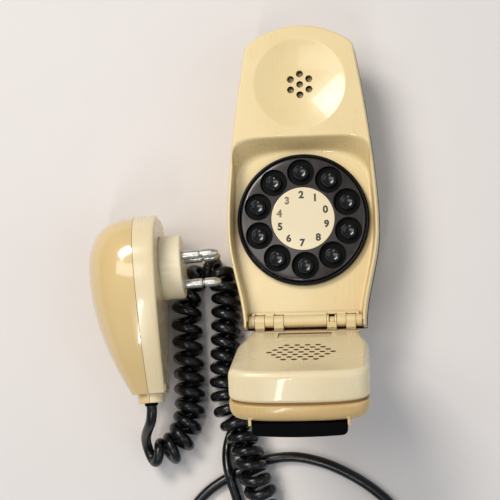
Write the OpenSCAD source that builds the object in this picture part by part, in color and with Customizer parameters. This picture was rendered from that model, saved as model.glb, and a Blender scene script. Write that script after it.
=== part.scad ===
// Folding dial telephone: a one-piece body with a ten-well dial, a sprung mouthpiece flap,
// and a curly cord that ends in a three-pin wall plug with the ringer inside it.
// The origin is on the surface that the body rests on, straight below the dial's centre.
// +Y points to the ear end, +Z away from the surface. The flap stands open at its stop.

/* [Body] */
// Distance from the dial's centre to the ear end
ear_end = 107; // [106:0.5:108]
// Distance from the dial's centre to the hinge end
hinge_end = 60; // [59.5:0.25:60.5]
// Half of the body's greatest width, at the seam
half_w = 41.6; // [41.2:0.1:42.2]
// Height of the seam between the two body shells
seam_z = 32; // [31.8:0.1:32.2]
// Height of the rim around the recess
rim_z = 46; // [45.5:0.25:46.5]
// Height of the recess floor
floor_z = 33; // [32.8:0.1:33.1]
// Wall thickness of the body shells
wall = 2.2; // [1.8:0.1:2.4]

/* [Dial] */
// Radius of the finger wheel
wheel_r = 34.2; // [33.8:0.1:34.3]
// Radius of the circle that the wells lie on
well_pitch = 25.7; // [25.4:0.1:25.9]
// Radius of a finger well
well_r = 7.25; // [7:0.05:7.3]
// Radius of a button in a well
button_r = 4.15; // [4:0.05:4.2]
// How far a button goes down
button_travel = 1.8; // [1.5:0.1:1.8]

/* [Flap] */
// Angle of the open flap from closed
open_angle = 107; // [104:0.5:108]
// Length of the flap from its hinge axis
flap_len = 86; // [84:0.5:87]
// Half of the flap's greatest width
flap_half = 34.3; // [33.5:0.1:34.6]
// Thickness of the flap at its tip
tip_thick = 26.5; // [25.5:0.5:27]
// Width of the rubber foot
foot_w = 46.6; // [40:0.1:48]

/* [Wall plug] */
// Half of the plug's greatest width
plug_half = 34; // [33.5:0.25:34.5]
// Height of the plug's dome over its seam
dome_h = 28.2; // [26:0.1:29]
// Turn of the plug where it lies, seen from above
plug_turn = 4; // [3:0.5:5]
// Radius of a contact pin
pin_r = 2.6; // [2.4:0.05:2.6]
// Pitch circle of the three contact pins
pin_circle = 20; // [19:0.5:21]

/* [Cord] */
// Diameter of the cord
cord_d = 5.7; // [5:0.1:5.8]
// Outer diameter of the curly stretch
coil_d = 18; // [17:0.25:18]

/* [Hidden] */

ivory = [0.93, 0.86, 0.68];
ivory_inside = [0.9, 0.83, 0.66];
pale_ivory = [0.93, 0.9, 0.8];
black = [0.08, 0.08, 0.09];
dial_black = [0.12, 0.11, 0.11];
steel = [0.7, 0.7, 0.7];
brass = [0.8, 0.65, 0.3];
copper = [0.75, 0.4, 0.2];
green = [0.15, 0.4, 0.25];

gap = 0.15;                 // side gap between hinge segments
top_r = 47;                 // radius of the ear end's outline
top_c = ear_end - top_r;    // centre of that arc
rest_half = 18;             // half width of the flat patch that the body rests on
rest_ear = 50;              // how far the flat patch reaches towards the ear
rest_hinge = 40;            // how far it reaches towards the hinge
rim_in = 3.2;               // from the widest outline to the recess's side walls
slab_z = floor_z - wall;    // underside of the recess floor
ear_y = 73.7;               // centre of the ear dish
dish_r = 25;
dish_depth = 3.5;
capsule_z = 40.3;           // underside of the wall behind the ear dish

hinge_y = -55.5;
hinge_z = 36;
barrel_r = 3.3;
pin_axle_r = 1.5;
run = 0.05;                 // radial clearance of a running fit
// widths of the nine hinge segments, left to right; the even ones belong to the flap
seg_w = [3.5, 5.3, 5, 5.3, 23.3, 5.3, 5, 5.3, 3.5];
barrel_half = 30.75;
foot_half = 29.1;           // half width of the bar that carries the body's segments
cam_x = 14.3;               // middle of the cam on the sixth segment
cam_w = 3;
cam_r = 3;
cam_e = 1.2;                // the cam's offset from the hinge axis
cam_at = -126.5;            // the cam's direction while the flap is open
plunger_top = hinge_z - cam_r - cam_e * cos(cam_at + 90) - 0.15;

wheel_z = 39;               // top of the finger wheel
well_floor = 35.8;
wheel_under = 34.6;
plate_top = 29;
plate_z = 27.5;
stem_z = plate_top + 0.2 + button_travel;   // foot of a button's stem
dial_opening = 35.25;
first_well = 91.7;          // direction of the well beside the 2
lug_at = 31;                // direction of the stop that a pressed button meets
gear_z = 21;
gear_module = 0.6;
gear_teeth = 72;
pinion_teeth = 12;
gear_r = gear_module * gear_teeth / 2;
pinion_r = gear_module * pinion_teeth / 2;
governor_y = -(gear_r + pinion_r);
shaft_r = 3;
spindle_r = 1.2;

face_n = 4.5;               // the flap's inner face from the hinge axis
flap_root = 3.6;            // where the flap's shells start
seam_root = 12;             // the flap's seam at its root and at its tip
seam_tip = face_n + 15.5 + 1.5;
out_root = 20;
out_tip = face_n + tip_thick;
grille_s = 48;
grille_pitch = 5.4;
foot_from = 67;
foot_to = 83;
foot_rise = 7;
foot_crown = 260;           // radius of the foot's outer face
socket_top = 33.5;
socket_low = out_tip - 2.6;   // top of the socket's bar at the tip, below the shell's face
socket_wall = 1.5;
socket = let (x = foot_w / 2 + socket_wall / 2 + 0.1, a = foot_from - 0.9, b = foot_to + 0.9)
    [[-x, a], [x, a], [x, b], [-x, b]];

plug_x = -90.1;
plug_y = -25.3;
plug_dip = 3;               // the pins' dip towards the surface
plug_lift = plug_half * cos(plug_dip) + 0.05;   // so that its widest edge lies on the surface
plug_wall = 2;
plug_top = 29;              // the plug's round end from the carrier's centre
plug_end = -68;             // its cord end
base_top = 12;              // depth of the base at the round end and at the cord end
base_end = 9;
carrier_r = 17.5;
carrier_from = 11.75;
carrier_to = 23.5;
pin_tip = 43.6;
collar_len = 5.5;
sleeve_end = plug_end - 6.5;   // where the sleeve round the cord ends
screw_v = -46;              // the screw that joins the plug's halves
screw_head = 8.2;

// The lead from the body to where the curls start, and the tail from there into the plug
lead_route = [
    [-24, -76.002, 24], [-24, -78, 24], [-25, -84, 21.5], [-28.5, -92, 14], [-34, -99.5, 6.5], [-40, -107, 3],
    [-44.5, -114.5, 2.9], [-47.2, -123, 3.4], [-47.3, -131, 6.5], [-45.5, -139.5, 8.9],
    [-42.8, -149, 6.5], [-40.5, -160, 3.2], [-43, -172.5, 2.9], [-52, -181.5, 2.9],
    [-63, -180, 2.9], [-69.5, -170.5, 2.9], [-67.5, -158.5, 2.9], [-60.5, -149.5, 2.9],
    [-51.5, -142.8, 2.9], [-40.5, -137, 2.9], [-26, -131, 2.9], [-10, -129.3, 2.9],
    [6.5, -132.8, 2.9], [21.5, -139.6, 2.9], [35, -148.5, 2.9], [45.5, -159, 2.9],
    [49.5, -172, 2.9], [43.5, -184, 2.9], [30, -190, 2.9], [12, -191, 3.5],
    [-4, -188, 5], [-12.5, -182.5, 7], [-16.8, -175.5, 8.75], [-19.5, -167.5, 9]];
coil_route = [
    [-19.5, -167.5, 9.35], [-22.5, -160, 9.55], [-26, -152, 10.4], [-29.5, -144, 13],
    [-32, -136, 15.2], [-34.2, -127.5, 15.6], [-37.4, -117, 15.8], [-41.5, -109, 15.6],
    [-45, -102, 13.8], [-46.9, -94, 11], [-47.2, -84, 9.65], [-46.8, -72, 9.45],
    [-46.3, -60, 9.45], [-46, -48, 9.45], [-46, -38, 9.35], [-47.6, -29.5, 9],
    [-52, -23.6, 8.1], [-57.6, -22.6, 7.9], [-62.4, -26.6, 7.9], [-66, -34, 8],
    [-68.6, -42.5, 8.75], [-68.6, -52, 9.25], [-68.3, -63, 9.35], [-67.8, -76, 9.35],
    [-67.4, -90, 9.35], [-67.4, -102, 9.45], [-70, -113, 9.65], [-76, -122, 9.9],
    [-84, -126.5, 10.4], [-91, -124.6, 11], [-93.4, -118, 13]];
// radius of the curls along that route: tight where they pass below the plug's carrier
coil_tight = 7.4;
tail_route = [
    [-93.4, -118, 13], [-91.2, -115.5, 19], [-88.3, -112.5, 26], [-85.6, -108, 32],
    plug_axis_at(sleeve_end - 2), plug_axis_at(sleeve_end - 0.002)];

// ---- shared functions ----

function mix(a, b, t) = a + (b - a) * t;
function limit(t) = max(0, min(1, t));
function smooth(t) = let (c = limit(t)) c * c * (3 - 2 * c);
function soft_min(a, b, k) =
    let (h = limit(0.5 + 0.5 * (b - a) / k)) mix(b, a, h) - k * h * (1 - h);
function backwards(list) = [for (i = [len(list) - 1 : -1 : 0]) list[i]];
function mirrored(half) = concat(half, [for (p = backwards(half)) if (p.x > 0.001) [-p.x, p.y]]);
// a quarter of a rounded box corner, from (w, 0) to (0, h)
function corner(w, h, power, steps) = [for (i = [0 : steps])
    let (a = 90 * i / steps) [w * pow(cos(a), 2 / power), h * pow(sin(a), 2 / power)]];

// A closed skin through rings of equal length, each anticlockwise seen from the last one
module skin(rings) {
    n = len(rings[0]);
    last = len(rings) - 1;
    sides = [for (k = [0 : last - 1], i = [0 : n - 1])
        let (j = (i + 1) % n, a = k * n, b = (k + 1) * n)
        each [[a + i, b + i, b + j], [a + i, b + j, a + j]]];
    polyhedron([for (ring = rings) each ring],
        concat(sides, [[for (i = [0 : n - 1]) i]], [[for (i = [n - 1 : -1 : 0]) last * n + i]]),
        convexity = 6);
}

function unit(v) = v / norm(v);
// A tube of given radii along a route of points
module tube(route, radii, sides) {
    last = len(route) - 1;
    skin([for (k = [0 : last])
        let (
            along = unit(route[min(k + 1, last)] - route[max(k - 1, 0)]),
            side = unit(cross(along, [0, 0, 1])),
            up = cross(side, along))
        [for (i = [0 : sides - 1])
            let (a = 360 * i / sides) route[k] + radii[k] * (cos(a) * side + sin(a) * up)]]);
}

// ---- the body's outline ----

function side_w(y) = y >= 0
    ? half_w - 10.6 * pow(y / 91.2, 1.5)
    : half_w - 8.2 * smooth((-y - 6) / 54);
function half_at(y, inset = 0) = y < 80
    ? side_w(y) - inset
    : soft_min(side_w(y) - inset, sqrt(max(0, pow(top_r - inset, 2) - pow(y - top_c, 2))), 2);
function inset_y(y, inset) = y > 80
    ? 80 + (y - 80) * (ear_end - inset - 80) / (ear_end - 80)
    : y < -44 ? -44 - (-44 - y) * (hinge_end - inset - 44) / (hinge_end - 44) : y;
stations = concat([-hinge_end, -52, -44, -36, -28, -20, -10], [0 : 12 : 72],
    [80, 86, 90, 93, 96, 99, 101.5, 103.5, 105, 106.1, 106.8]);
station_list = [for (s = stations) each s];
function outline(inset = 0) = mirrored(concat(
    [for (s = station_list) let (y = inset_y(s, inset)) [half_at(y, inset), y]],
    [[0, ear_end - inset]]));
function patch(p) = [p.x * rest_half / half_w,
    p.y > 0 ? p.y * rest_ear / ear_end : p.y * rest_hinge / hinge_end];
// the rounded back: rings from the flat patch out to the seam
function back_rings(inset, step) = [for (a = [90 : -step : 0])
    [for (p = outline(inset))
        let (q = mix(patch(p), p, cos(a))) [q.x, q.y, seam_z - (seam_z - inset) * sin(a)]]];

screw_spots = [[27, 52], [-27, 52], [27, -42], [-27, -42]];
screw_seat = 14;
boss_z = 19;

module back_shell() {
    color(ivory) difference() {
        union() {
            difference() {
                skin(back_rings(0, 10));
                skin(concat(back_rings(wall, 10),
                    [[for (p = outline(wall)) [p.x, p.y, seam_z + 1]]]));
            }
            // posts that carry the screws
            intersection() {
                skin(back_rings(0.4, 15));
                for (p = screw_spots) hull() {
                    translate([p.x, p.y, 1]) cylinder(h = boss_z - 1, r = 4.2, $fn = 20);
                    translate([p.x * 1.12, p.y, 1]) cylinder(h = boss_z - 6, r = 2, $fn = 16);
                }
                for (p = board_spots)
                    translate([p.x, p.y, 0]) cylinder(h = board_z, r = 2.6, $fn = 16);
            }
        }
        for (p = screw_spots) {
            hull() {
                translate([p.x, p.y, -1]) cylinder(h = 1, r = 3.6, $fn = 20);
                translate([p.x, p.y, screw_seat - 1]) cylinder(h = 1, r = 3.2, $fn = 20);
            }
            translate([p.x, p.y, 0]) cylinder(h = boss_z + 1, r = 1.7, $fn = 20);
        }
        // hole for the cord's strain relief
        translate([-24, -50, 24]) rotate([90, 0, 0]) cylinder(h = 20, r = 5.1, $fn = 24);
    }
}

// ---- the recess in the front shell ----

// outline of the recess at one level: straight sides, and a rounded step at the ear side
function recess_outline(inset, corner_y, step_y, power) =
    let (
        sides = [for (y = [-62, -54, -46, -38, -30, -20, -10, 0, 10]) [half_at(y, inset), y]],
        cap = [for (p = corner(half_at(corner_y, inset), step_y - corner_y, power, 9))
            [p.x, corner_y + p.y]])
    mirrored(concat(sides, cap));
function at_height(flat, z) = [for (p = flat) [p.x, p.y, z]];

module recess() {
    skin([
        at_height(recess_outline(rim_in + 1.2, 17, 38.2, 2.6), floor_z),
        at_height(recess_outline(rim_in + 0.5, 18, 39, 2.8), floor_z + 0.9),
        at_height(recess_outline(rim_in + 0.2, 22, 41.4, 3.4), floor_z + 6),
        at_height(recess_outline(rim_in, 27, 43.8, 5), rim_z - 1),
        at_height(recess_outline(rim_in - 0.2, 28, 44.8, 5.6), rim_z + 0.5)]);
}

module dish_cutter() {
    // a shallow spherical dish with a soft edge
    steps = 8;
    ball = (dish_r * dish_r + dish_depth * dish_depth) / (2 * dish_depth);
    translate([0, ear_y, rim_z - dish_depth]) rotate_extrude($fn = 56)
        polygon(concat(
            [for (i = [0 : steps]) let (x = dish_r * i / steps) [x, ball - sqrt(ball * ball - x * x)]],
            [[dish_r + 0.8, dish_depth + 0.5], [0, dish_depth + 0.5]]));
}

function ear_holes() = concat([[0, 0]], [for (i = [0 : 5]) 5.8 * [cos(90 + 60 * i), sin(90 + 60 * i)]]);

module front_shell() {
    color(ivory) difference() {
        union() {
            skin([for (r = [[0, 0], [0.3, 5], [0.7, 10], [1.1, 13], [1.5, 13.7], [2.1, 14]])
                at_height(outline(r[0]), seam_z + r[1] * (rim_z - seam_z) / 14)]);
            // the recess floor's slab, and a lip that locates the back shell
            translate([0, 0, slab_z]) linear_extrude(seam_z - slab_z + 0.5) intersection() {
                polygon(outline(wall + 0.2));
                translate([-60, -70]) square([120, 118]);
            }
            translate([0, 0, seam_z - 1.5]) linear_extrude(2) difference() {
                polygon(outline(wall + 0.2));
                polygon(outline(wall + 1.6));
            }
            // bosses that the screws bite into
            intersection() {
                translate([0, 0, boss_z]) linear_extrude(30) polygon(outline(wall + 0.3));
                for (p = screw_spots) hull() {
                    translate([p.x, p.y, boss_z + 0.1]) cylinder(h = 14, r = 3.6, $fn = 20);
                    translate([p.x * 1.1, p.y, boss_z + 8]) cylinder(h = 6, r = 2, $fn = 16);
                }
            }
        }
        recess();
        // hollow behind the ear
        difference() {
            translate([0, 0, slab_z - 1]) linear_extrude(capsule_z - slab_z + 1) intersection() {
                polygon(outline(wall + 1.2));
                translate([-60, 47.5]) square([120, 80]);
            }
            for (p = [screw_spots[0], screw_spots[1]])
                translate([p.x, p.y, boss_z + 0.1]) cylinder(h = 30, r = 3.6, $fn = 20);
        }
        dish_cutter();
        for (p = ear_holes()) hull() {
            translate([p.x, ear_y + p.y, capsule_z - 1]) cylinder(h = 1, r = 1.6, $fn = 14);
            translate([p.x, ear_y + p.y, rim_z - 1]) cylinder(h = 1, r = 1.75, $fn = 14);
        }
        translate([0, 0, slab_z - 1]) cylinder(h = 5, r = dial_opening, $fn = 80);
        for (p = screw_spots)
            translate([p.x, p.y, boss_z - 1]) cylinder(h = 11, r = 1.5, $fn = 16);
        for (p = dial_screw_spots)
            translate([p.x, p.y, slab_z - 1]) cylinder(h = 2.4, r = 1.35, $fn = 16);
        // trough for the hinge barrel, open towards the end
        translate([-31.3, hinge_y, hinge_z]) rotate([0, 90, 0])
            cylinder(h = 62.6, r = barrel_r + 0.35, $fn = 32);
        translate([-31.3, hinge_y - 20, floor_z - 0.8]) cube([62.6, 20, 30]);
        // window that the cam dips into
        translate([cam_x - cam_w / 2 - 0.6, hinge_y - 4, slab_z - 1]) cube([cam_w + 1.2, 7.6, 5]);
    }
}

module shell_screws() {
    color(steel) for (p = screw_spots) translate([p.x, p.y, 0]) {
        translate([0, 0, screw_seat - 2.2]) difference() {
            cylinder(h = 2.2, r = 2.8);
            translate([-3, -0.35, -0.1]) cube([6, 0.7, 0.9]);
        }
        translate([0, 0, screw_seat]) cylinder(h = 14, r = 1.4);
    }
}

// ---- inside the body ----

module receiver_capsule() {
    color(steel) translate([0, ear_y, 0]) rotate_extrude()
        polygon([[0, 29], [9, 29], [9, 32], [19.5, 32], [20.5, 33], [20.5, 38.8], [0, 38.8]]);
}

module receiver_seal() {
    color(black) translate([0, ear_y, 38.8]) difference() {
        cylinder(h = capsule_z - 38.8, r = 20.5);
        translate([0, 0, -1]) cylinder(h = 5, r = 17);
    }
}

board_z = 10;
board_spots = [[-13.5, 45.5], [13.5, 45.5], [-13.5, 74], [13.5, 74]];
module circuit_board() {
    color(green) difference() {
        translate([-17, 42, board_z]) cube([34, 35.5, 1.6]);
        for (p = board_spots) translate([p.x, p.y, board_z - 1]) cylinder(h = 4, r = 1.2);
    }
}

module speech_transformer() {
    color(copper) translate([-14, 48, board_z + 1.6]) {
        cube([15, 13, 3]);
        translate([2.5, 0.5, 3]) cube([10, 12, 8]);
        translate([0, 0, 11]) cube([15, 13, 2.5]);
    }
}

module board_capacitor() {
    color(brass) translate([9.5, 48, board_z + 1.6 + 4.5]) rotate([-90, 0, 0]) cylinder(h = 18, r = 4.5);
}

module terminal_strip() {
    color(dial_black) difference() {
        translate([-14, 66, board_z + 1.6]) cube([20, 9, 7]);
        for (x = [-11, -6.5, -2, 2.5])
            translate([x, 70.5, board_z + 4]) cylinder(h = 8, r = 1.4);
    }
}

// ---- the hinge ----

function seg_start(i) = i == 0 ? -barrel_half : seg_start(i - 1) + seg_w[i - 1];

module segments(which) {
    for (i = which) translate([seg_start(i) + gap / 2, 0, 0]) rotate([0, 90, 0])
        cylinder(h = seg_w[i] - gap, r = barrel_r);
}

module at_hinge() {
    translate([0, hinge_y, hinge_z]) children();
}

module body_hinge_block() {
    color(ivory) at_hinge() difference() {
        union() {
            segments([0, 2, 4, 6, 8]);
            intersection() {
                for (i = [0, 2, 4, 6, 8])
                    translate([seg_start(i) + gap / 2, 0, floor_z - hinge_z])
                        cube([seg_w[i] - gap, 4.6, 3]);
                translate([-foot_half, 0, -10]) cube([2 * foot_half, 20, 20]);
            }
            translate([-foot_half, 3.7, floor_z - hinge_z]) cube([2 * foot_half, 1.6, 1.4]);
        }
        translate([-40, 0, 0]) rotate([0, 90, 0]) cylinder(h = 80, r = pin_axle_r);
        translate([-8.8, 0, 0]) rotate([0, 90, 0]) cylinder(h = 17.6, r = 2.55);
    }
}

module hinge_pin() {
    color(steel) at_hinge() translate([-30.5, 0, 0]) rotate([0, 90, 0]) cylinder(h = 61, r = pin_axle_r);
}

module hinge_spring() {
    color(steel) at_hinge() translate([-8.4, 0, 0]) rotate([0, 90, 0]) difference() {
        cylinder(h = 16.8, r = 2.4);
        translate([0, 0, -1]) cylinder(h = 20, r = 1.65);
    }
}

module hook_plunger() {
    color(brass) translate([cam_x, hinge_y, 0]) {
        translate([0, 0, 24.6]) cylinder(h = plunger_top - 24.6, r = 1.1);
        translate([0, 0, 25.2]) cylinder(h = 0.8, r = 1.5);
    }
}

module hook_switch() {
    color(dial_black) difference() {
        union() {
            translate([cam_x - 5, hinge_y - 1.5, 24]) cube([10, 8.1, 5.8]);
            translate([cam_x - 5, hinge_y + 4, 24]) cube([10, 2.6, slab_z - 24]);
        }
        translate([cam_x, hinge_y, 24.5]) cylinder(h = 20, r = 1.16);
        // slot that the plunger's flange slides in
        translate([cam_x - 1.6, hinge_y - 4, 24.5]) cube([3.2, 5.6, 3.7]);
    }
}

module body_strain_relief() {
    color(black) translate([-24, 0, 24]) rotate([90, 0, 0]) difference() {
        rotate_extrude() polygon([[0, 53.8], [5.6, 53.8], [5.6, 54.9], [4.9, 54.9],
            [4.9, 61], [3.5, 76], [0, 76]]);
        translate([0, 0, 50]) cylinder(h = 25, r = 1.2);
    }
}

// ---- the dial ----

function ring_point(r, a) = [r * cos(a), r * sin(a)];
dial_screw_spots = [ring_point(40.2, -127), ring_point(40.2, -53), ring_point(40.2, 90)];
lug_r = 2.8;

module dial_bezel() {
    color(dial_black) rotate_extrude()
        polygon([[34.5, plate_top], [35.15, plate_top], [35.15, floor_z], [36.1, floor_z],
            [36.1, 36.4], [35.5, 37.2], [34.9, 37.2], [34.5, 36.8]]);
}

module dial_plate() {
    color(steel) difference() {
        union() {
            translate([0, 0, plate_z]) cylinder(h = plate_top - plate_z, r = 36.5);
            for (p = dial_screw_spots) {
                translate([p.x, p.y, plate_z]) cylinder(h = slab_z - plate_z, r = lug_r);
                rotate([0, 0, atan2(p.y, p.x)]) translate([33, -lug_r, plate_z])
                    cube([norm(p) - 33, 2 * lug_r, plate_top - plate_z]);
            }
        }
        translate([0, 0, plate_z - 1]) cylinder(h = 5, r = 5);
        translate([0, governor_y, plate_z - 1]) cylinder(h = 5, r = spindle_r + run);
        for (p = dial_screw_spots)
            translate([p.x, p.y, plate_z - 1]) cylinder(h = 9, r = 1.25);
    }
}

module dial_bush() {
    color(brass) difference() {
        union() {
            translate([0, 0, plate_z - 2.4]) cylinder(h = 5.1, r = 5);
            translate([0, 0, plate_top]) cylinder(h = 1.2, r = 6.4);
        }
        translate([0, 0, 20]) cylinder(h = 20, r = shaft_r + run);
    }
}

module dial_screws() {
    color(steel) for (p = dial_screw_spots) translate([p.x, p.y, plate_z]) {
        cylinder(h = 4.4, r = 1.2);
        translate([0, 0, -1.6]) difference() {
            cylinder(h = 1.6, r = 2.3);
            translate([-3, -0.3, -0.1]) cube([6, 0.6, 0.7]);
        }
    }
}

module stop_lug() {
    color(steel) rotate([0, 0, lug_at]) translate([well_pitch - 4, 0, plate_top])
        difference() {
            translate([0, -1.1, 0]) cube([8, 2.2, 1.5]);
            translate([-1, -2, 1]) rotate([0, -20, 0]) cube([2, 4, 2]);
        }
}

module return_spring() {
    turns = 4;
    step = 12;
    function spiral(r) = [for (a = [0 : step : 360 * turns]) ring_point(r + 9 * a / (360 * turns), a)];
    color(steel) translate([0, 0, 23.2]) linear_extrude(1.6)
        polygon(concat(spiral(3.7), backwards(spiral(3.2))));
}

// A spur gear with involute flanks, one tooth pointing along +X
module gear_outline(teeth) {
    pressure = 25;
    play = 0.09;
    r = gear_module * teeth / 2;
    base = r * cos(pressure);
    tip = r + 0.8 * gear_module;
    root = r - 1.05 * gear_module;
    function roll(at) = let (t = sqrt(max(0, pow(at / base, 2) - 1))) t * 180 / PI - atan(t);
    function flank(at) = 90 / teeth - play / r * 180 / PI + roll(r) - roll(at);
    radii = [max(base, root), mix(max(base, root), tip, 0.35), mix(max(base, root), tip, 0.7), tip];
    polygon([for (k = [0 : teeth - 1]) let (mid = 360 * k / teeth) each concat(
        [ring_point(root, mid - flank(radii[0]) - 0.2)],
        [for (q = radii) ring_point(q, mid - flank(q))],
        [for (q = backwards(radii)) ring_point(q, mid + flank(q))],
        [ring_point(root, mid + flank(radii[0]) + 0.2)])]);
}

module main_gear() {
    color(brass) translate([0, 0, gear_z]) difference() {
        rotate([0, 0, -90]) linear_extrude(1.5) gear_outline(gear_teeth);
        translate([0, 0, -1]) cylinder(h = 4, r = shaft_r);
        for (a = [0 : 60 : 300]) rotate([0, 0, a]) translate([12, 0, -1]) cylinder(h = 4, r = 4);
    }
}

module governor_spindle() {
    color(brass) translate([0, governor_y, 0]) {
        translate([0, 0, 12.5]) cylinder(h = 15.9, r = spindle_r);
        translate([0, 0, gear_z - 0.2]) linear_extrude(1.9)
            rotate([0, 0, 90 + 180 / pinion_teeth]) gear_outline(pinion_teeth);
        // fly weights
        translate([0, 0, 15]) difference() {
            cylinder(h = 3, r = 5.6);
            for (s = [-1, 1]) translate([s * 6, 0, -1]) cylinder(h = 5, r = 3.6);
        }
    }
}

module governor_cup() {
    color(steel) translate([0, governor_y, 0]) difference() {
        union() {
            translate([0, 0, 13]) cylinder(h = 1, r = 8);
            translate([0, 0, 13]) difference() {
                cylinder(h = 5.5, r = 8);
                translate([0, 0, 1]) cylinder(h = 6, r = 6.6);
            }
            for (s = [-1, 1]) {
                translate([s * 10, -4, 13]) cylinder(h = plate_z - 13, r = 1.6);
                translate([s * 8.4 - 1.6, -5, 13]) cube([3.2, 2.4, 2]);
            }
        }
        translate([0, 0, 12]) cylinder(h = 4, r = spindle_r + run);
    }
}

module pulse_contacts() {
    color(brass) translate([-31, 4, 19.5]) {
        cube([4.5, 9, 8]);
        for (z = [1.5, 5.6]) translate([0.5, -9, z]) cube([3, 10, 0.5]);
    }
}

function well_angle(i) = first_well + 36 * i;
function well_spot(i) = ring_point(well_pitch, well_angle(i));

module finger_wheel() {
    color(dial_black) difference() {
        rotate_extrude() polygon([[0, 31.6], [8, 31.6], [31, 31.6], [31, 32.2], [8, 32.2], [8, wheel_under],
            [wheel_r, wheel_under], [wheel_r, wheel_z - 1], [wheel_r - 1, wheel_z], [17.3, wheel_z],
            [17.3, wheel_z - 0.6], [0, wheel_z - 0.6]]);
        for (i = [0 : 9]) translate([well_spot(i).x, well_spot(i).y, 0]) {
            translate([0, 0, well_floor]) cylinder(h = 5, r = well_r);
            translate([0, 0, 33]) cylinder(h = 5, r = button_r + 0.1);
            translate([0, 0, 30]) cylinder(h = 5, r = 2.6);
        }
        translate([0, 0, 30]) cylinder(h = 5.5, r = shaft_r);
        translate([0, 0, 35]) cylinder(h = 2, r = 1.4);
        translate([0, 0, 36.8]) cylinder(h = 5, r = 2.8);
    }
}

module number_disc() {
    color(pale_ivory) translate([0, 0, wheel_z - 0.6]) rotate_extrude()
        polygon([[0, 0], [17.2, 0], [17.2, 0.7], [16.9, 1], [0, 1]]);
}

module wheel_screw() {
    color(steel) {
        translate([0, 0, 32]) cylinder(h = 5, r = 1.4);
        translate([0, 0, 36.8]) cylinder(h = 1.5, r = 2.6);
    }
}

module dial_shaft() {
    color(steel) difference() {
        translate([0, 0, 19.5]) cylinder(h = 15.9, r = shaft_r);
        translate([0, 0, 32]) cylinder(h = 5, r = 1.4);
    }
}

module finger_button(i) {
    color(dial_black) translate([well_spot(i).x, well_spot(i).y, 0]) rotate_extrude()
        polygon(concat([[0, stem_z], [2.5, stem_z], [2.5, 35], [button_r, 35], [button_r, 38.1],
            [button_r - 0.3, 38.4], [3.6, 38.4]],
            [for (a = [10 : 20 : 70]) [3.6 * cos(a), 38.4 - 0.9 * sin(a)]], [[0, 37.5]]));
}

module button_springs() {
    color(steel) for (i = [0 : 9]) translate([well_spot(i).x, well_spot(i).y, 32.2]) difference() {
        cylinder(h = 2.7, r = 3.5);
        translate([0, 0, -1]) cylinder(h = 5, r = 3);
    }
}

// ---- the flap, drawn closed: +Y towards its tip, +Z away from the dial, origin on the hinge ----

module flap_pose() {
    translate([0, hinge_y, hinge_z]) rotate([open_angle, 0, 0]) children();
}

function flap_w(s) = flap_half - 4.3 * (1 - smooth((s - 2) / 34));
function along(s) = (s - flap_root) / (flap_len - flap_root);
function flap_seam(s) = mix(seam_root, seam_tip, along(s));
function flap_out(s) = mix(out_root, out_tip, along(s));
tip_cap = 11;   // length of the rounded tip
function flap_outline(inset) = mirrored(concat(
    [for (s = [flap_root + inset * 0.6, 10, 17, 24, 31, 40, 50, 60, 70]) [flap_w(s) - inset, s]],
    [for (p = corner(flap_w(flap_len - tip_cap) - inset, tip_cap - inset, 2.7, 8))
        [p.x, flap_len - tip_cap + p.y]]));
// a level of the flap, from 0 at its inner face to 1 at its seam
function inner_level(inset, t, drop) = [for (p = flap_outline(inset))
    [p.x, p.y, mix(face_n, flap_seam(p.y), t) - drop]];
function outer_level(inset, t, drop) = [for (p = flap_outline(inset))
    [p.x, p.y, mix(flap_seam(p.y), flap_out(p.y), t) - drop]];

function grille() = [for (row = [-3 : 3]) let (n = 7 - abs(row)) for (k = [0 : n - 1])
    [(k - (n - 1) / 2) * grille_pitch, grille_s + row * grille_pitch * sin(60)]];
flap_screw_spots = [[24, 20], [-24, 20], [26, 72], [-26, 72]];

module flap_inner_shell() {
    color(ivory) flap_pose() difference() {
        union() {
            difference() {
                skin([inner_level(1.8, 0, 0), inner_level(0.7, 0, -0.5), inner_level(0.15, 0, -1.6),
                    inner_level(0, 0.4, 0), inner_level(0, 1, 1.5), inner_level(1.1, 1, 1.4),
                    inner_level(1.1, 1, 0)]);
                skin([inner_level(2.6, 0, -2), inner_level(2.6, 1, -1)]);
            }
            for (p = flap_screw_spots) translate([p.x, p.y, face_n + 1])
                cylinder(h = flap_seam(p.y) - face_n - 1.2, r = 3, $fn = 18);
        }
        for (p = grille()) hull() {
            translate([p.x, p.y, face_n - 0.5]) cylinder(h = 1, r = 1.45, $fn = 10);
            translate([p.x, p.y, face_n + 2]) cylinder(h = 1, r = 1.3, $fn = 10);
        }
        translate([-14.3, 8, face_n - 1]) cube([28.6, 10, 1.9]);
        for (p = flap_screw_spots)
            translate([p.x, p.y, face_n + 3]) cylinder(h = 20, r = 1.45, $fn = 16);
    }
}

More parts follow.
